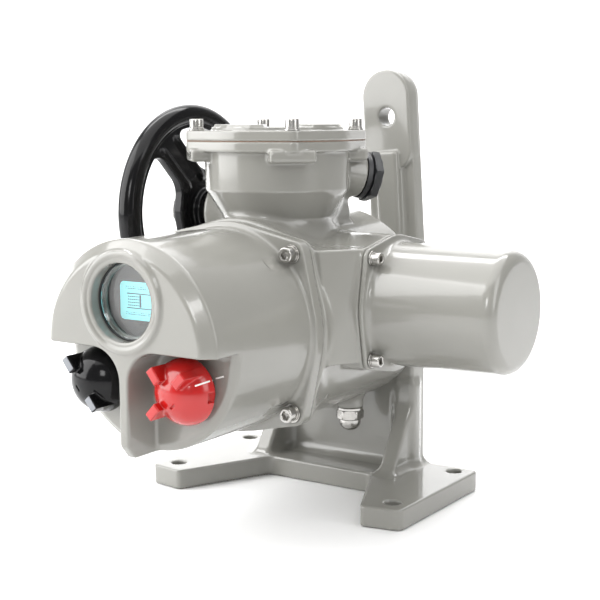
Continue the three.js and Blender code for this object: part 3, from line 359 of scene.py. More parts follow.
def mesh_object(name, verts, faces, smooth=True):
    mesh = bpy.data.meshes.new(name)
    verts = np.asarray(verts, float) * MM
    if isinstance(faces, np.ndarray):
        mesh.vertices.add(len(verts))
        mesh.vertices.foreach_set("co", verts.astype(np.float32).ravel())
        mesh.loops.add(faces.size)
        mesh.loops.foreach_set("vertex_index", faces.astype(np.int32).ravel())
        mesh.polygons.add(len(faces))
        starts = np.arange(len(faces)) * faces.shape[1]
        mesh.polygons.foreach_set("loop_start", starts.astype(np.int32))
        mesh.update(calc_edges=True)
    else:
        mesh.from_pydata([tuple(v) for v in verts], [], faces)
    mesh.validate()
    mesh.polygons.foreach_set("use_smooth", np.full(len(mesh.polygons), smooth))
    obj = bpy.data.objects.new(name, mesh)
    bpy.context.scene.collection.objects.link(obj)
    return obj


def settle(obj, body, material, nodes=()):
    """Rides on a body, takes a material, and stands for CAD nodes."""
    obj.data.materials.clear()
    obj.data.materials.append(material)
    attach(obj, body)
    if nodes:
        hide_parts(*nodes)
    return obj


def cast(name, field, lo, hi, step, body, material, nodes=(), turn=None):
    """A piece from its distance field, turned by (angle, centre) about Y if turn is given."""
    verts, quads = surface(field, lo, hi, step)
    if turn:
        angle, at = turn
        c, s = math.cos(angle), math.sin(angle)
        q = verts - at
        verts = np.stack([q[:, 0] * c + q[:, 2] * s, q[:, 1], q[:, 2] * c - q[:, 0] * s], 1) + at
    return settle(mesh_object(name, verts, quads), body, material, nodes)


def hexagon(across, limit=math.inf):
    """Radius of a hexagon at each angle, by its width across flats; limit trims its corners."""
    def r(angle):
        a = (angle % (math.pi / 3)) - math.pi / 6
        return np.minimum(across / 2 / np.cos(a), limit)
    return r


def rings(name, profile, direction, at, body, material, nodes=(), segments=48, closed=False,
          spin=0.0):
    """A piece built of rings along a direction: each ring is (radius or radius function, distance)."""
    angle = np.arange(segments) / segments * 2 * math.pi
    verts, rows = [], []
    for r, t in profile:
        radius = r(angle) if callable(r) else np.full(segments, float(r))
        if not callable(r) and r == 0:
            rows.append([len(verts)])
            verts.append((0, 0, t))
            continue
        rows.append(list(range(len(verts), len(verts) + segments)))
        verts += [(radius[k] * math.cos(angle[k] + spin), radius[k] * math.sin(angle[k] + spin), t)
                  for k in range(segments)]
    faces = []
    pairs = list(zip(rows, rows[1:])) + ([(rows[-1], rows[0])] if closed else [])
    for a, b in pairs:
        for k in range(segments):
            n = (k + 1) % segments
            if len(a) == 1:
                faces.append((a[0], b[n], b[k]))
            elif len(b) == 1:
                faces.append((a[k], a[n], b[0]))
            else:
                faces.append((a[k], a[n], b[n], b[k]))
    turn = Vector((0, 0, 1)).rotation_difference(Vector(direction)).to_matrix()
    verts = [np.array(turn @ Vector(v)) + at for v in verts]
    obj = mesh_object(name, verts, faces)
    obj.data.set_sharp_from_angle(angle=SHARP)
    return settle(obj, body, material, nodes)


def cap_screw(name, size, direction, at, body="frame", node=None, washers=True):
    """A socket-head cap screw, standing on a flat and a spring washer or straight on its seat."""
    d = np.array(direction, float) / np.linalg.norm(direction)
    at = np.array(at, float)
    bore, head, socket = size * 0.53, size * 0.8125, hexagon(size * 0.82)
    if washers:
        flat, spring = size * 0.18, size * 0.17
        rings(f"{name}_washer",
              [(bore, 0), (size * 0.98, 0), (size, 0.15), (size, flat - 0.15), (size * 0.98, flat),
               (bore, flat)],
              d, at, body, BRIGHT, closed=True)
        rings(f"{name}_spring",
              [(bore, 0), (size * 0.84, 0), (size * 0.86, 0.12), (size * 0.86, spring - 0.12),
               (size * 0.84, spring), (bore, spring)],
              d, at + d * (flat + 0.05), body, BRIGHT, closed=True)
        at = at + d * (flat + spring + 0.1)
    rings(name,
          [(0, 0.0), (head * 0.96, 0.0), (head, 0.2), (head, size * 0.86), (head * 0.985, size * 0.93),
           (head * 0.94, size * 0.98), (head * 0.88, size), (size * 0.56, size),
           (hexagon(size * 0.9), size - 0.12), (socket, size * 0.92), (socket, size * 0.48),
           (0, size * 0.36)],
          d, at, body, BRIGHT, [node] if node else (), segments=60)


# ------------------------------------------------------------------ materials
def material(name, base, rough, metal=0.0, spots=0.04, grain=400.0, bump=0.02, coat=0.0, rough_spread=0.06,
             wear_scale=18.0, **more):
    """A principled surface with mottled colour, uneven gloss and a fine relief."""
    mat = bpy.data.materials.new(name)
    mat.use_nodes = True
    tree = mat.node_tree
    shader = tree.nodes["Principled BSDF"]
    link = tree.links.new
    coords = tree.nodes.new("ShaderNodeTexCoord")

    def noise(scale, detail, stretch=None):
        node = tree.nodes.new("ShaderNodeTexNoise")
        node.inputs["Scale"].default_value = scale
        node.inputs["Detail"].default_value = detail
        source = coords.outputs["Object"]
        if stretch:
            mapping = tree.nodes.new("ShaderNodeMapping")
            mapping.inputs["Scale"].default_value = stretch
            link(source, mapping.inputs["Vector"])
            source = mapping.outputs["Vector"]
        link(source, node.inputs["Vector"])
        return node.outputs["Fac"]

    ramp = tree.nodes.new("ShaderNodeValToRGB")
    dark = [c * (1 - spots) for c in base]
    light = [min(1, c * (1 + spots)) for c in base]
    ramp.color_ramp.elements[0].position = 0.32
    ramp.color_ramp.elements[1].position = 0.68
    ramp.color_ramp.elements[0].color = (*dark, 1)
    ramp.color_ramp.elements[1].color = (*light, 1)
    link(noise(wear_scale, 6, more.get("stretch")), ramp.inputs["Fac"])
    link(ramp.outputs["Color"], shader.inputs["Base Color"])
    gloss = tree.nodes.new("ShaderNodeMapRange")
    gloss.inputs["To Min"].default_value = max(0.02, rough - rough_spread)
    gloss.inputs["To Max"].default_value = rough + rough_spread
    link(noise(wear_scale * 3, 5), gloss.inputs["Value"])
    link(gloss.outputs["Result"], shader.inputs["Roughness"])
    relief = tree.nodes.new("ShaderNodeBump")
    relief.inputs["Strength"].default_value = bump
    relief.inputs["Distance"].default_value = 0.0006
    link(noise(grain, 3, more.get("stretch")), relief.inputs["Height"])
    link(relief.outputs["Normal"], shader.inputs["Normal"])
    shader.inputs["Metallic"].default_value = metal
    shader.inputs["Coat Weight"].default_value = coat
    shader.inputs["Coat Roughness"].default_value = 0.06
    shader.inputs["Specular IOR Level"].default_value = more.get("specular", 0.5)
    if "transmission" in more:
        shader.inputs["Transmission Weight"].default_value = more["transmission"]
    if "emission" in more:
        shader.inputs["Emission Color"].default_value = (*more["emission"], 1)
        shader.inputs["Emission Strength"].default_value = more.get("glow", 1.0)
    return mat


ENAMEL = material("grey_enamel", (0.232, 0.229, 0.208), 0.2, spots=0.03, grain=520, bump=0.07, coat=0.5)
BLACK_ENAMEL = material("black_enamel", (0.004, 0.004, 0.0045), 0.17, spots=0.3, grain=420, bump=0.08,
                        coat=0.1, specular=0.2)
BRIGHT = material("bright_stainless", (0.46, 0.45, 0.43), 0.24, metal=1, spots=0.1, grain=1500, bump=0.10,
                  wear_scale=160)
STEEL = material("machined_steel", (0.50, 0.50, 0.50), 0.28, metal=1, spots=0.12, grain=1400, bump=0.12,
                 wear_scale=60)
BRONZE = material("bronze", (0.60, 0.40, 0.18), 0.3, metal=1, spots=0.12, grain=900, bump=0.1, wear_scale=60)
COPPER = material("windings", (0.55, 0.24, 0.10), 0.35, metal=0.6, spots=0.2, grain=1800, bump=0.6,
                  wear_scale=90, stretch=(1, 6, 6))
RUBBER = material("seal_rubber", (0.020, 0.020, 0.021), 0.6, spots=0.25, grain=900, bump=0.25)
CASE_PLASTIC = material("display_case", (0.085, 0.075, 0.068), 0.34, spots=0.12, grain=1600, bump=0.15)
CYAN = material("lit_display", (0.28, 0.80, 0.84), 0.25, spots=0.03, grain=900, bump=0.02,
                emission=(0.30, 0.86, 0.88), glow=0.55)
DIGIT = material("display_marks", (0.015, 0.12, 0.18), 0.3, spots=0.05, grain=900, bump=0.02)
BOARD = material("solder_mask", (0.02, 0.14, 0.06), 0.3, spots=0.2, grain=600, bump=0.2, wear_scale=60)
RED_PLASTIC = material("red_plastic", (0.41, 0.006, 0.005), 0.2, spots=0.06, grain=700, bump=0.06, coat=0.3)
RED_LABEL = material("red_label", (0.45, 0.035, 0.035), 0.32, spots=0.08, grain=900, bump=0.1)
BLACK_PLASTIC = material("black_plastic", (0.004, 0.004, 0.0045), 0.14, spots=0.25, grain=700, bump=0.06,
                         coat=0.1, specular=0.2)
NYLON = material("black_nylon", (0.018, 0.019, 0.021), 0.34, spots=0.2, grain=1200, bump=0.2)
LABEL = material("pale_label", (0.22, 0.23, 0.25), 0.3, spots=0.05, grain=900, bump=0.08)
WHITE = material("white_mark", (0.85, 0.85, 0.83), 0.35, spots=0.03, grain=900, bump=0.1)
BROWN = material("gasket_edge", (0.20, 0.12, 0.08), 0.6, spots=0.25, grain=900, bump=0.2)
GLASS = material("window_glass", (0.95, 0.98, 0.98), 0.03, spots=0.01, grain=60, bump=0.01, rough_spread=0.01,
                 transmission=1.0)

SLOT_LOOKS = {"enamel": ENAMEL, "black_enamel": BLACK_ENAMEL, "bronze": BRONZE, "winding_copper": COPPER,
              "seal_rubber": RUBBER, "window": GLASS, "display_case": CASE_PLASTIC, "display_face": CYAN,
              "circuit_board": BOARD, "red_plastic": RED_PLASTIC, "black_plastic": BLACK_PLASTIC,
              "black_nylon": NYLON, "stainless": BRIGHT, "machined_steel": STEEL}
for part in frame["record"]["subparts"]:
    node = frame["nodes"][part["node"]]
    node.data.materials.clear()
    node.data.materials.append(SLOT_LOOKS[part["material_slot"]])


# ------------------------------------------------------------------ gear housing
def neck_outline():
    return cornered(MOTOR[1], MOTOR[2], 45, *MOTOR_SCREW, 6.5)


def head_outline():
    return cornered(0, OUT_Z, 68.5, HEAD_SCREW, HEAD_SCREW, 8.5)


def lid_outline(r, corner):
    return cornered(0, TERM_Y, r, LID_SCREW, LID_SCREW, corner)


def gear_train(lo, hi, edge):
    """The flat case around the worm shaft's, the idler's and the motor's gears."""
    worm, idler = (WORM[1], WORM[2]), (IDLER[1], IDLER[2])
    motor = (MOTOR[1] + 4, MOTOR[2] - 22)
    return join(1, plate(X, belt(worm, 17.5, idler, 23.2), lo, hi, edge),
                plate(X, belt(idler, 23.2, motor, 16), lo, hi, edge))


# The cable entry: its direction, its start inside the compartment, and its two cross axes.
CABLE = np.array([0.56, 0.81, -0.18]) / np.linalg.norm([0.56, 0.81, -0.18])
CABLE_FROM = np.array([0, TERM_Y, 236.5])
CABLE_SIDE = np.cross(CABLE, [0, 0, 1])
CABLE_UP = np.cross(CABLE_SIDE, CABLE)


SKIRT = PART_Y + 26                    # where the front's corners have run out into the barrel


def skirt(p):
    """The head's outline, drawn in behind the joint until its corners are lost in the barrel."""
    k = 1 + 0.147 * np.clip((p[1] - PART_Y - 1) / (SKIRT - PART_Y - 1), 0, 1)
    outline = head_outline()(p[0] * k, OUT_Z + (p[2] - OUT_Z) * k) / k
    mid, half = (PART_Y + 0.15 + SKIRT) / 2, (SKIRT - PART_Y - 0.15) / 2
    return capped(outline, np.abs(p[1] - mid) - half, 1.1)


def housing_field():
    centre = (0, 0, OUT_Z)
    barrel = bar(Y, centre, PART_Y + 0.3, REAR_Y - 0.2, 69.5, 1.2)
    neck = plate(X, neck_outline(), 10, CASE_HI[0] - 0.15, 1.0)
    neck_x = CASE_HI[0] - 0.3
    section = polygon([(40, PART_Y + 3), (66.5, PART_Y + 3), (neck_x, -113), (neck_x, -100), (40, -100)])
    upright = plate(Z, section, MOTOR[2] - 34, MOTOR[2] + 38.6, 1.2)

    def shoulder(p):
        lean = 0.09 * (p[2] - MOTOR[2]) * np.clip((-113 - p[1]) / 23, 0, 1)
        return upright([p[0] + lean, p[1] + 0 * lean, p[2] + 0 * lean])

    pot = spun(Z, (0, TERM_Y, 0), [(0, 175), (36, 175), (36.2, 199.5), (47.4, 217.5), (47.7, TERM_TOP - 4),
                                   (0, TERM_TOP - 4)], 0.8)
    flats = brick((-47.4, TERM_Y - 60, 170), (47.4, TERM_Y + 60, TERM_TOP), 1)
    collar = plate(Z, lid_outline(52.3, 6.9), TERM_TOP - 6.6, TERM_TOP, 0.7)
    lug = brick((38, -15, TERM_TOP - 13.2), (59.4, 15, TERM_TOP - 5), 2.2)
    lugs = [placed(lug, (0, TERM_Y, 0), (sx, sy, 0), (-sy, sx, 0), (0, 0, 1)) for sx, sy in corners(1, 1)]
    boss = placed(bar(Z, (0, 0, 0), 20, 61, 15.5, 1.0), CABLE_FROM, CABLE_SIDE, CABLE_UP, CABLE)
    tunnel = join(1.5, bar(X, WORM, CASE_LO[0] + 0.5, 19, 23.5, 3), bar(X, WORM, 10, 29.4, 17, 1.2))
    case = gear_train(-60, -38, 1.5)
    bosses = [bar(Z, (side * STOP_X, STOP_Y, 0), 60, 80, 9.5, 1) for side in (-1, 1)]
    body = join(4, barrel, skirt)
    body = join(4, body, tunnel, *bosses)
    body = join(2, body, join(1.5, neck, shoulder))
    body = join(2.5, body, case)
    top = join(1.2, meet(1.5, pot, flats), *lugs)
    top = join(1.5, top, boss, collar)
    shape = join(6, body, top)
    holes = [bar(X, WORM, -64, -40, 9.2, 0.4), bar(Y, centre, -28, 0, 21.3, 0.4)]
    holes += [bar(Z, (side * STOP_X, STOP_Y, 0), 50, 84, 4.4, 0.3) for side in (-1, 1)]
    return carve(0.6, shape, *holes)


cast("housing_casting", housing_field(), CASE_LO, CASE_HI, 1.0, "frame", ENAMEL, ["gear_housing"])

SIDE_LO, SIDE_HI = box_mm("side_gear_cover")
shaft_ring = bar(X, WORM, -67.5, -61, 12.5, 1)
side_plate = join(1.5, gear_train(-64.6, -60.3, 1.2), shaft_ring)
cast("side_cover_plate", carve(0.4, side_plate, bar(X, WORM, -70, -58, 8.7, 0.2)),
     SIDE_LO - [3.5, 0, 0], SIDE_HI, 0.8, "frame", ENAMEL, ["side_gear_cover"])


# ------------------------------------------------------------------ control head
PILLAR = 3.4                           # half the width of the pillar between the two knob pockets
CEILING = OUT_Z + 0.5                  # top of the two knob pockets
WALL = FRONT + 25                      # back wall of the two knob pockets


def pocket(side):
    """The open room under the head's face on one side; its back wall slopes away at the rim."""
    def f(p):
        u = PILLAR - p[0] * side
        v = p[2] - CEILING
        opening = overlap(u + 0 * v, v + 0 * u, 20)
        slope = np.clip((np.hypot(p[0], p[2] - OUT_Z) - 60.5) * 0.55, 0, 3)
        return overlap(opening + 0 * p[1], p[1] - WALL - slope, 2.0)
    return f


def chamfer(p):
    """The sloping edge around the head's front face."""
    rad = np.hypot(p[0], p[2] - OUT_Z)
    return (rad - 57) * 0.631 - (p[1] - FRONT) * 0.776


def head_field():
    centre = (0, 0, OUT_Z)
    barrel = meet(0.9, bar(Y, centre, FRONT, PART_Y - 0.5, 65, 0.6), chamfer)
    flange = plate(Y, head_outline(), HEAD_FLANGE, PART_Y - 0.25, 1.0)
    at = (0, 0, WINDOW[2])
    bezel = carve(0.7, bar(Y, at, FRONT - 1.6, FRONT + 8, 30.2, 1.0),
                  bar(Y, at, FRONT - 9, FRONT - 0.5, 26.6, 0.8))
    pip = bar(Y, (37, 0, 85.6), HEAD_FLANGE - 20, HEAD_FLANGE, 4, 0.9)
    scoops = [bar(Y, (x, 0, OUT_Z + z), HEAD_FLANGE - 22, HEAD_FLANGE, 7.2, 3)
              for x, z in corners(HEAD_SCREW, HEAD_SCREW)]
    shell = carve(1.3, barrel, pocket(1), pocket(-1))
    shell = join(2.4, shell, flange)
    shell = join(1.0, shell, pip)
    shell = join(1.6, shell, bezel)
    shell = carve(1.5, shell, *scoops)
    well = [bar(Y, at, FRONT - 12, FRONT + 11.6, 23.2, 0.3), bar(Y, at, FRONT + 6, FRONT + 15, 21, 0.3),
            bar(Y, at, FRONT + 14, FRONT + 30, 28, 0.5)]
    return carve(0.7, shell, *well)


cast("head_casting", head_field(), HEAD_LO, HEAD_HI, 0.95, "frame", ENAMEL, ["control_cover"])

# The screen, with bars and dashes only.
SCREEN_LO, SCREEN_HI = box_mm("display_screen")
face_y = SCREEN_LO[1]
screen = plate(Y, rect(SCREEN_LO[0], SCREEN_HI[0], SCREEN_LO[2], SCREEN_HI[2], 3), face_y, face_y + 1,
               0.1)
cast("display_panel", screen, SCREEN_LO, SCREEN_HI, 0.35, "frame", CYAN, ["display_screen"])


def marks():
    """Small flat boxes on the screen: a frame open on its left, rows of short dashes and a bar."""
    verts, faces = [], []

    def mark(x0, x1, z0, z1):
        n = len(verts)
        y0, y1 = face_y - 0.12, face_y + 0.1
        verts.extend([(x0, y0, z0), (x1, y0, z0), (x1, y0, z1), (x0, y0, z1),
                      (x0, y1, z0), (x1, y1, z0), (x1, y1, z1), (x0, y1, z1)])
        for q in ((0, 1, 2, 3), (7, 6, 5, 4), (0, 4, 5, 1), (1, 5, 6, 2), (2, 6, 7, 3), (3, 7, 4, 0)):
            faces.append([n + k for k in q])

    left, right = SCREEN_LO[0] + 5.5, SCREEN_HI[0] - 5.5
    bottom, top = SCREEN_LO[2] + 7.2, SCREEN_HI[2] - 7.2
    for z in (bottom, top):
        mark(left, right, z - 0.28, z + 0.28)
    mark(right - 0.4, right, bottom, top)
    for row in range(5):
        for col in range(6):
            x = left + 0.8 + col * 1.45
            z = bottom + 1.3 + row * 1.75
            mark(x, x + 0.95, z, z + 0.62)
    mark(left + 9.6, left + 11.0, bottom + 0.6, top - 0.6)
    for z, spread in ((SCREEN_HI[2] - 4.4, 9), (SCREEN_LO[2] + 3.2, 13)):
        for col in range(spread):
            x = left - 1 + col * 1.9
            mark(x, x + (1.3 if col % 4 else 0.5), z, z + 0.45)
            mark(x, x + (0.5 if col % 3 else 1.2), z + 1.1, z + 1.5)
    return verts, faces


settle(mesh_object("display_marks", *marks(), smooth=False), "frame", DIGIT)
module_y = box_mm("display_module")[0][1]
rings("display_bezel", [(0, 0), (26.8, 0), (26.8, 0.9), (0, 0.9)], (0, 1, 0), (0, module_y - 0.1, WINDOW[2]),
      "frame", CASE_PLASTIC, segments=96)
rings("window_gasket", [(22.3, 0), (22.6, -0.2), (23.1, 0), (23.15, 1.4), (22.3, 1.4)], (0, 1, 0),
      (0, FRONT + 6.3, WINDOW[2]), "frame", RUBBER, ["window_seal"], segments=96, closed=True)

# The pointer line on the back wall of the right pocket.
line_start, line_end = np.array([49.0, 115.6]), np.array([54.8, 117.4])
line_length = np.linalg.norm(line_end - line_start)
run = (line_end - line_start) / line_length
line = placed(brick((0, -0.4, -0.45), (line_length, 0.25, 0.45), 0.15), (line_start[0], WALL, line_start[1]),
              (run[0], 0, run[1]), (0, 1, 0), (-run[1], 0, run[0]))
cast("pointer_line", line, (48.0, WALL - 0.6, 114.6), (55.8, WALL + 0.4, 118.4), 0.25, "frame",
     WHITE)


# ------------------------------------------------------------------ knobs
KNOB_R, KNOB_DOME = 20.4, 18.0         # the dome's radius and depth
MARK_ANGLE = 24                        # where the red knob's index line is


def spoke(at, azimuth, block):
    """A block on a knob's face: its x leads outwards from the knob's axis and its y to the front."""
    c, s = cos_sin(azimuth)
    return placed(block, at, (c, 0, s), (0, -1, 0), (-s, 0, c))


def dome(at, grow=0.0):
    """A whole ball flattened along the knob's axis; knob_field keeps its front half."""
    def f(p):
        u, t, v = p[0] - at[0], p[1] - at[1], p[2] - at[2]
        flat = (u * u + v * v) / (KNOB_R + grow) ** 2
        deep = t * t / (KNOB_DOME + grow) ** 2
        k = np.sqrt(flat + deep) + 1e-6
        slope = np.sqrt(flat / (KNOB_R + grow) ** 2 + deep / (KNOB_DOME + grow) ** 2) + 1e-6
        return k * (k - 1) / slope
    return f


def knob_field(at, angles, slot):
    base = at[1]
    shape = meet(0.9, dome(at), lambda p: p[1] - base + 0 * p[0] + 0 * p[2])
    shape = join(0.8, shape, bar(Y, at, base - 3, base + 5, 16.5, 0.4))
    blocks = [spoke(at, a, brick((9, 1, -2.8), (18.8, 20.95, 2.8), 0.5)) for a in angles]
    shape = join(1.1, shape, *blocks)
    notch = spoke(at, -4, brick((16.6, -3, -2.9), (30, 5.5, 2.9), 0.3))
    u, v, azimuth = slot
    dent = meet(0.1, spoke(at + [u, 0, v], azimuth, brick((-2.1, 4, -0.55), (2.1, 30, 0.55), 0.15)),
                lambda p: -dome(at, -0.9)(p))
    return carve(0.3, shape, notch, dent)


for label, at, angles, slot, look in (("red", RED, (46, 128, 227), (2.2, -6.1, 40), RED_PLASTIC),
                                      ("black", BLACK, (128, 308), (-4.8, -3.6, 126), BLACK_PLASTIC)):
    lo, hi = box_mm(f"{label}_knob")
    cast(f"{label}_knob_cap", knob_field(at, angles, slot), lo - 0.5, hi + 0.5, 0.42, f"{label}_knob",
         look, [f"{label}_knob"])
    tag_look = LABEL if label == "black" else RED_LABEL
    for k, azimuth in enumerate(angles):
        c, s = cos_sin(azimuth)
        tag = spoke(at, azimuth, brick((9.8, 20.7, -2.3), (18.3, 21.15, 2.3), 0.15))
        mid = at + np.array([14 * c, -21.1, 14 * s])
        cast(f"{label}_knob_tag_{k + 1}", tag, mid - [6, 1, 6], mid + [6, 1, 6], 0.3, f"{label}_knob",
             tag_look)
stripe = meet(0.1, spoke(RED, MARK_ANGLE, brick((15.8, 0, -0.5), (20.2, 14, 0.5), 0.1)), dome(RED, 0.15),
              lambda p: -dome(RED, -0.6)(p))
c, s = cos_sin(MARK_ANGLE)
mid = RED + np.array([17 * c, -7, 17 * s])
cast("red_knob_mark", stripe, mid - 7.5, mid + 7.5, 0.25, "red_knob", WHITE)


# ------------------------------------------------------------------ motor cover
def cover_field():
    x0, x1 = COVER_LO[0], COVER_HI[0]
    flange = plate(X, neck_outline(), x0, x0 + 3, 0.6)
    can = bar(X, MOTOR, x0 + 0.5, x1, 40.4, 7.5, r_end=38.9)
    seats = [bar(X, (0, MOTOR[1] + y, MOTOR[2] + z), x0 + 3, x0 + 24, 5.7, 1)
             for y, z in corners(*MOTOR_SCREW)]
    return carve(1.0, join(5, flange, can), *seats)


cast("motor_housing", cover_field(), COVER_LO, COVER_HI, 1.0, "frame", ENAMEL, ["motor_cover"])


# ------------------------------------------------------------------ terminal lid
def lid_field():
    z0 = LID_LO[2]
    flange = plate(Z, lid_outline(52.3, 6.9), z0 - 0.3, z0 + 6.2, 0.7)
    seats = [(x, TERM_Y + y) for x, y in corners(LID_SCREW, LID_SCREW)]

    def crown_outline(u, v):
        d = np.hypot(u, v - TERM_Y) - 44.5
        for x, y in seats:
            d = overlap(d, 14.5 - np.hypot(u - x, v - y), 3)
        return d

    crown = plate(Z, crown_outline, z0 + 2, z0 + 8.4, 1.0)
    pad = plate(Z, polygon([(27, -11), (40, -17), (43, -9), (43, 9), (40, 17), (27, 11)]), z0 + 5, z0 + 10.2,
                0.7)
    turns = [cos_sin(angle) for angle in (0, 90, 180, 270)]
    pads = [placed(pad, (0, TERM_Y, 0), (c, s, 0), (-s, c, 0), (0, 0, 1)) for c, s in turns]
    dish = bar(Z, (0, TERM_Y, 0), z0 + 7.4, z0 + 20, 23, 0.6)
    return carve(0.7, join(1.0, flange, crown, *pads), dish)


cast("terminal_lid", lid_field(), LID_LO, LID_HI + [0, 0, 1], 0.85, "frame", ENAMEL,
     ["terminal_cover"])
flat_gasket = plate(Z, lid_outline(51.9, 6.5), TERM_TOP - 0.3, TERM_TOP + 0.8, 0.05)
cast("lid_gasket", flat_gasket, (-62, TERM_Y - 62, TERM_TOP - 0.3), (62, TERM_Y + 62, TERM_TOP + 0.8), 0.8,
     "frame", BROWN, ["terminal_gasket"])


# ------------------------------------------------------------------ stand
def arc_corner(points, steps=6):
    """A polygon with its corners rounded: points are (u, v, radius)."""
    out = []
    n = len(points)
    for k in range(n):
        u, v, r = points[k]
        here = np.array([u, v], float)
        if r == 0:
            out.append(tuple(here))
            continue
        back = np.array(points[k - 1][:2], float) - here
        ahead = np.array(points[(k + 1) % n][:2], float) - here
        back /= np.linalg.norm(back)
        ahead /= np.linalg.norm(ahead)
        half = math.acos(np.clip(back @ ahead, -1, 1)) / 2
        reach = r / math.tan(half)
        a, b = here + back * reach, here + ahead * reach
        for t in np.linspace(0, 1, steps):
            out.append(tuple((1 - t) ** 2 * a + 2 * t * (1 - t) * here + t * t * b))
    return out


def stand_field():
    rear, front = FOOT_HI[1], FOOT_LO[1] - 0.6
    outline = arc_corner([(104, front + 4.5, 6), (76, front, 5), (44, -40, 8), (-44, -40, 8),
                          (-76, front, 5), (-104, front + 4.5, 6), (-104, rear, 5), (104, rear, 5)])
    foot = plate(Z, polygon(outline), 0.1, 14, 0.9)
    centre = (0, 0, OUT_Z)
    column = plate(Y, rect(-60, 60, 6, OUT_Z, 2), -STAND_HALF, STAND_HALF, 2)
    head = plate(Y, disc(0, OUT_Z, 60), -STAND_HALF, STAND_HALF, 2)
    rib_outline = polygon(arc_corner([(-2, 8, 0), (-2, 74, 0), (-7, 74, 0), (-9.5, 60, 14), (-33, 22, 8),
                                      (-38, 13, 0), (-38, 8, 0)]))
    ribs = [plate(X, rib_outline, lo, hi, 2.4) for lo, hi in ((-60, -47.5), (47.5, 60))]
    upright = join(8, join(1, column, head), *ribs)
    shape = join(7, foot, upright)
    bolts = [bar(Z, (s * FOOT_BOLT, y, 0), -5, 20, 5.5, 0.1) for s in (-1, 1) for y in (-90.5, -1.5)]
    return carve(0.9, shape, bar(Y, centre, -20, 20, 30, 0.2), *bolts)


cast("stand_casting", stand_field(), FOOT_LO, FOOT_HI, 1.1, "frame", ENAMEL, ["base_stand"])

tube = spun(Y, (0, 0, OUT_Z), [(23.4, TUBE_LO[1] + 0.6), (29, TUBE_LO[1] + 0.6), (29, 10), (46.4, 10),
                               (46.4, 16.4), (33.5, 20), (29.6, TUBE_HI[1] - 0.7),
                               (23.4, TUBE_HI[1] - 0.7)], 0.6)
tube_bore = bar(Y, (0, 0, OUT_Z), TUBE_HI[1] - 14, TUBE_HI[1] + 4, 21.3, 0.2)
cast("output_column", carve(0.5, tube, tube_bore), TUBE_LO, TUBE_HI, 1.0, "frame", ENAMEL,
     ["output_tube"])


# ------------------------------------------------------------------ lever
def lever_field():
    """The lever standing upright; cast leans it."""
    face, rear = ARM_LO[1] + 7, ARM_HI[1] - 0.1
    z = OUT_Z
    top = (0, z + 150.4)
    plate_field = plate(Y, belt((0, z), 20.5, top, 20.45), face + 3.2, rear, 1.6)
    straight, end = rect(-20.45, 20.45, z + 94.5, top[1] + 14, 14), disc(*top, 20.45)
    boss = plate(Y, lambda u, v: merge(straight(u, v), end(u, v), 0.1), face, rear - 4, 1.0)
    rib = plate(Z, rect(-10.2, 9.8, face - 4.5, face + 12, 3.5), z + 8, z + 108, 2)
    hub = bar(Y, (0, 0, z), face - 7, rear, 31, 2)
    shape = join(1.5, join(4, plate_field, rib), boss)
    shape = join(9, shape, hub)
    eye = bar(Y, (0, 0, z + 135), face - 8, rear + 8, 7.2, 0.1)
    flats = meet(0.3, bar(Y, (0, 0, z), face - 20, rear + 8, 12.3, 0.1),
                 brick((-20, 0, z - 9.3), (20, 120, z + 9.3), 0.2))
    return carve(0.8, shape, eye, flats)


cast("lever_casting", lever_field(), (-37, ARM_LO[1], OUT_Z - 33), (37, ARM_HI[1], OUT_Z + 174), 1.0,
     "output", ENAMEL, ["lever_arm"], turn=(LEAN, np.array([0, 0, OUT_Z])))


# ------------------------------------------------------------------ handwheel
def wheel_field():
    """A rim and a dished disc with three openings, ribs along them, and a hub with a neck."""
    rim_outline = rect(61.9, 76.6, -7.4, 7.4, 6.6)
    first_spoke, lean = 123.0, 10.0

    def f(p):
        y, z, t = p[1] - WORM[1], p[2] - WORM[2], p[0] - WHEEL_X
        rad = np.hypot(y, z)
        turn = (np.degrees(np.arctan2(z, y)) - first_spoke + 60) % 120 - 60
        aside = rad * np.sin(np.radians(np.abs(turn)))
        flat = rad + 0 * t
        dished = t - np.clip((64 - rad) / 34, 0, 1) * lean
        rim = rim_outline(flat, t + 0 * rad)
        web = capped(flat - 66, np.abs(dished) - 4, 1)
        rib = capped(np.abs(aside - 8.6) - 2.0 + 0 * t, np.abs(dished - 2.6) - 3.2, 1.8)
        rib = overlap(overlap(rib, rad - 59 + 0 * t, 3), 24 - rad + 0 * t, 3)
        hub = capped(flat - 21, np.abs(t - 9) - 5, 1.6)
        neck = capped(flat - 16.8, np.abs(t - 7.5) - 12.3, 1.4)
        hole = overlap(overlap(28.5 - rad, rad - 60.0, 8), 11.6 - aside, 9) + 0 * t
        web = overlap(web, -hole, 1.4)
        d = web
        for other, r in ((rim, 0.8), (rib, 3), (hub, 1.6), (neck, 1.6)):
            d = merge(d, other, r)
        return overlap(d, 6.3 - flat, 0.5)
    return f


cast("wheel_casting", wheel_field(), WHEEL_LO, WHEEL_HI, 0.95, "worm", BLACK_ENAMEL,
     ["handwheel"])
nut_x = box_mm("handwheel_nut")[1][0]
nut_flats, nut_trimmed = hexagon(18), hexagon(18, 9.9)
rings("wheel_nut", [(6.2, 0), (8.6, 0), (nut_trimmed, 0.8), (nut_flats, 1.4), (nut_flats, 5.9),
                    (nut_trimmed, 6.5), (8.6, 7.2), (6.2, 7.2)], (-1, 0, 0),
      (nut_x, WORM[1], WORM[2]), "worm", BRIGHT, ["handwheel_nut"], segments=72, closed=True)
rings("wheel_washer", [(6.3, 0), (11.6, 0), (11.6, 1.6), (6.3, 1.6)], (-1, 0, 0),
      (nut_x + 0.2, WORM[1], WORM[2]), "worm", BRIGHT, closed=True)


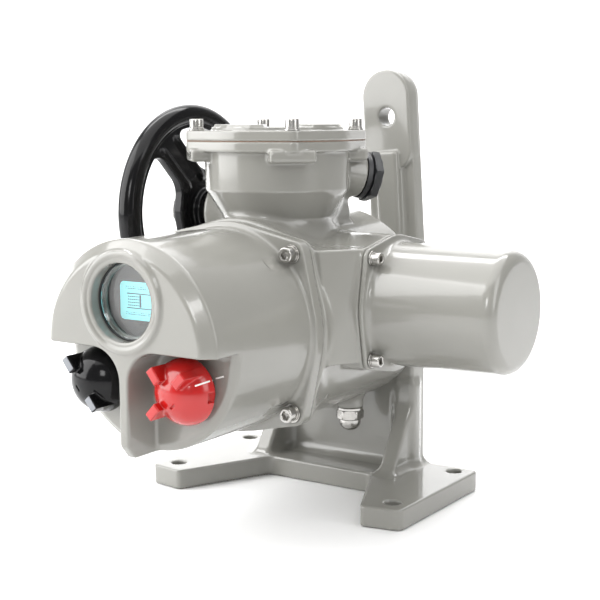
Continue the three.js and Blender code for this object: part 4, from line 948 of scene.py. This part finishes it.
# ------------------------------------------------------------------ fasteners
for k, (x, z) in enumerate(corners(HEAD_SCREW, HEAD_SCREW)):
    cap_screw(f"head_bolt_{k + 1}", 6, (0, -1, 0), (x, HEAD_FLANGE - 0.05, OUT_Z + z),
              node=f"control_screw_{k + 1}")
for k, (y, z) in enumerate(corners(*MOTOR_SCREW)):
    cap_screw(f"motor_bolt_{k + 1}", 5, (1, 0, 0), (COVER_LO[0] + 3.05, MOTOR[1] + y, MOTOR[2] + z),
              node=f"motor_screw_{k + 1}")
for k, (x, y) in enumerate(corners(LID_SCREW, LID_SCREW)):
    cap_screw(f"lid_bolt_{k + 1}", 5.5, (0, 0, 1), (x, TERM_Y + y, LID_LO[2] + 6.25),
              node=f"terminal_screw_{k + 1}")
for k, (x, z) in enumerate(corners(37.5, 37.5)):
    cap_screw(f"stand_bolt_{k + 1}", 6, (0, 1, 0), (x, STAND_HALF + 0.05, OUT_Z + z))
for k in range(6):
    c, s = cos_sin(60 * k + 30)
    cap_screw(f"column_bolt_{k + 1}", 5, (0, 1, 0), (40.2 * c, 17.0, OUT_Z + 40.2 * s))
for k, (y, z) in enumerate(((-74.5, 207), (-74.5, 189), (-49.5, 207), (-49.5, 189))):
    cap_screw(f"side_bolt_{k + 1}", 4, (-1, 0, 0), (SIDE_LO[0] - 0.05, y, z), washers=False)

cap_flats = hexagon(17)
cap_profile = [(0, 0), (8.9, 0), (9.2, 0.3), (9.2, 1.8), (8.6, 2.2), (hexagon(17, 9.3), 2.2),
               (cap_flats, 2.9), (cap_flats, 7.6), (hexagon(17, 9.2), 8.4), (7.6, 9.2), (7.7, 11), (7.4, 12.6),
               (6.6, 14.3), (5.2, 15.8), (3.4, 16.7), (1.6, 17.0), (0, 17.1)]
for label, side in (("left", -1), ("right", 1)):
    rings(f"cap_nut_{label}", cap_profile, (0, 0, -1), (side * STOP_X, STOP_Y, 59.9), "frame",
          BRIGHT, [f"stop_cap_nut_{label}"], segments=72)

lever_end = np.array([0, ARM_HI[1] + 1.85, OUT_Z])
rings("lever_plate_washer", [(4.6, 0), (16.8, 0), (17, 0.4), (17, 2.6), (16.6, 3), (4.6, 3)], (0, 1, 0),
      lever_end, "output", BRIGHT, ["lever_washer"], segments=72, closed=True)
cap_screw("lever_bolt", 8, (0, 1, 0), lever_end + [0, 3.1, 0], "output", "lever_screw", washers=False)

plug_flats, plug_trimmed = hexagon(31.2), hexagon(31.2, 17.6)
plug_profile = [(0, 0), (16.0, 0), (16.0, 3.2), (14.4, 3.4), (14.4, 4.4), (16.6, 4.7), (plug_trimmed, 5.3),
                (plug_flats, 6.2), (plug_flats, 9.6), (plug_trimmed, 10.5), (15.4, 11.1),
                (9, 11.1), (8.4, 10.2), (0, 10.2)]
rings("cable_stopper", plug_profile, tuple(CABLE), CABLE_FROM + CABLE * 61.2, "frame", NYLON,
      ["cable_plug"], segments=96, spin=0.2)


# ------------------------------------------------------------------ camera, floor and light
CAMERA_AT = (0.4869, -0.7896, 0.2626)  # in metres
CAMERA_ROLL = math.radians(-0.23)
camera = bpy.data.objects.new("camera", bpy.data.cameras.new("camera"))
bpy.context.scene.collection.objects.link(camera)
side = Vector((0.8303, 0.5573, 0.0)).normalized()
back = Vector((0.5517, -0.8220, 0.1409)).normalized()
up = back.cross(side).normalized()
side = up.cross(back).normalized()
turn = Matrix((side, up, back)).transposed() @ Matrix.Rotation(CAMERA_ROLL, 3, "Z")
camera.matrix_world = Matrix.Translation(CAMERA_AT) @ turn.to_4x4()
camera.data.lens = 75.65
camera.data.sensor_width = 36
camera.data.clip_start = 0.01
bpy.context.scene.camera = camera

# The floor runs back from the object and curves up into a backdrop: (distance, height) in metres.
bend = [(1.2 + 0.8 * math.sin(t), 0.8 - 0.8 * math.cos(t)) for t in np.linspace(0.15, math.pi / 2, 12)]
sweep = [(-3.0, 0.0), (1.2, 0.0)] + bend + [(2.0, 3.5)]
half_width = 4.0
away_from = Vector((-back.x, -back.y, 0)).normalized()
across = Vector((-away_from.y, away_from.x, 0))
points = []
for d, h in sweep:
    for s in (-half_width, half_width):
        q = away_from * d + across * s
        points.append((q.x / MM, q.y / MM, h / MM - 0.3))
panels = [(2 * k, 2 * k + 1, 2 * k + 3, 2 * k + 2) for k in range(len(sweep) - 1)]
floor = mesh_object("floor", points, panels)
floor.data.materials.append(material("pale_floor", (0.86, 0.86, 0.86), 0.6, spots=0.01, grain=40, bump=0.01,
                                     wear_scale=1.5))


def soft_light(name, at, target, size, watts):
    data = bpy.data.lights.new(name, "AREA")
    data.shape = "RECTANGLE"
    data.size, data.size_y = size
    data.energy = watts
    lamp = bpy.data.objects.new(name, data)
    bpy.context.scene.collection.objects.link(lamp)
    lamp.location = at
    lamp.visible_camera = False
    lamp.rotation_euler = (Vector(target) - Vector(at)).to_track_quat("-Z", "Y").to_euler()


soft_light("key", (-1.25, -1.15, 0.95), (0, -0.08, 0.12), (1.5, 1.9), 46)
soft_light("top", (0.15, -0.25, 1.5), (0, -0.05, 0.1), (2.2, 1.6), 24)
soft_light("front", (0.75, -1.75, 0.9), (0, -0.1, 0.12), (0.5, 0.5), 7)
soft_light("rear_left", (-1.9, 0.75, 0.5), (-0.1, 0, 0.15), (1.2, 1.2), 9)
soft_light("right", (1.7, -0.1, 0.8), (0, -0.05, 0.13), (0.7, 1.3), 9)
far = away_from * 1.1
soft_light("backdrop", (far.x, far.y, 2.2), (far.x * 2, far.y * 2, 0.1), (2.6, 0.9), 60)
world = bpy.data.worlds.new("studio")
world.use_nodes = True
world.node_tree.nodes["Background"].inputs["Color"].default_value = (1, 1, 1, 1)
world.node_tree.nodes["Background"].inputs["Strength"].default_value = 0.38
bpy.context.scene.world = world
bpy.context.scene.view_settings.view_transform = "Standard"
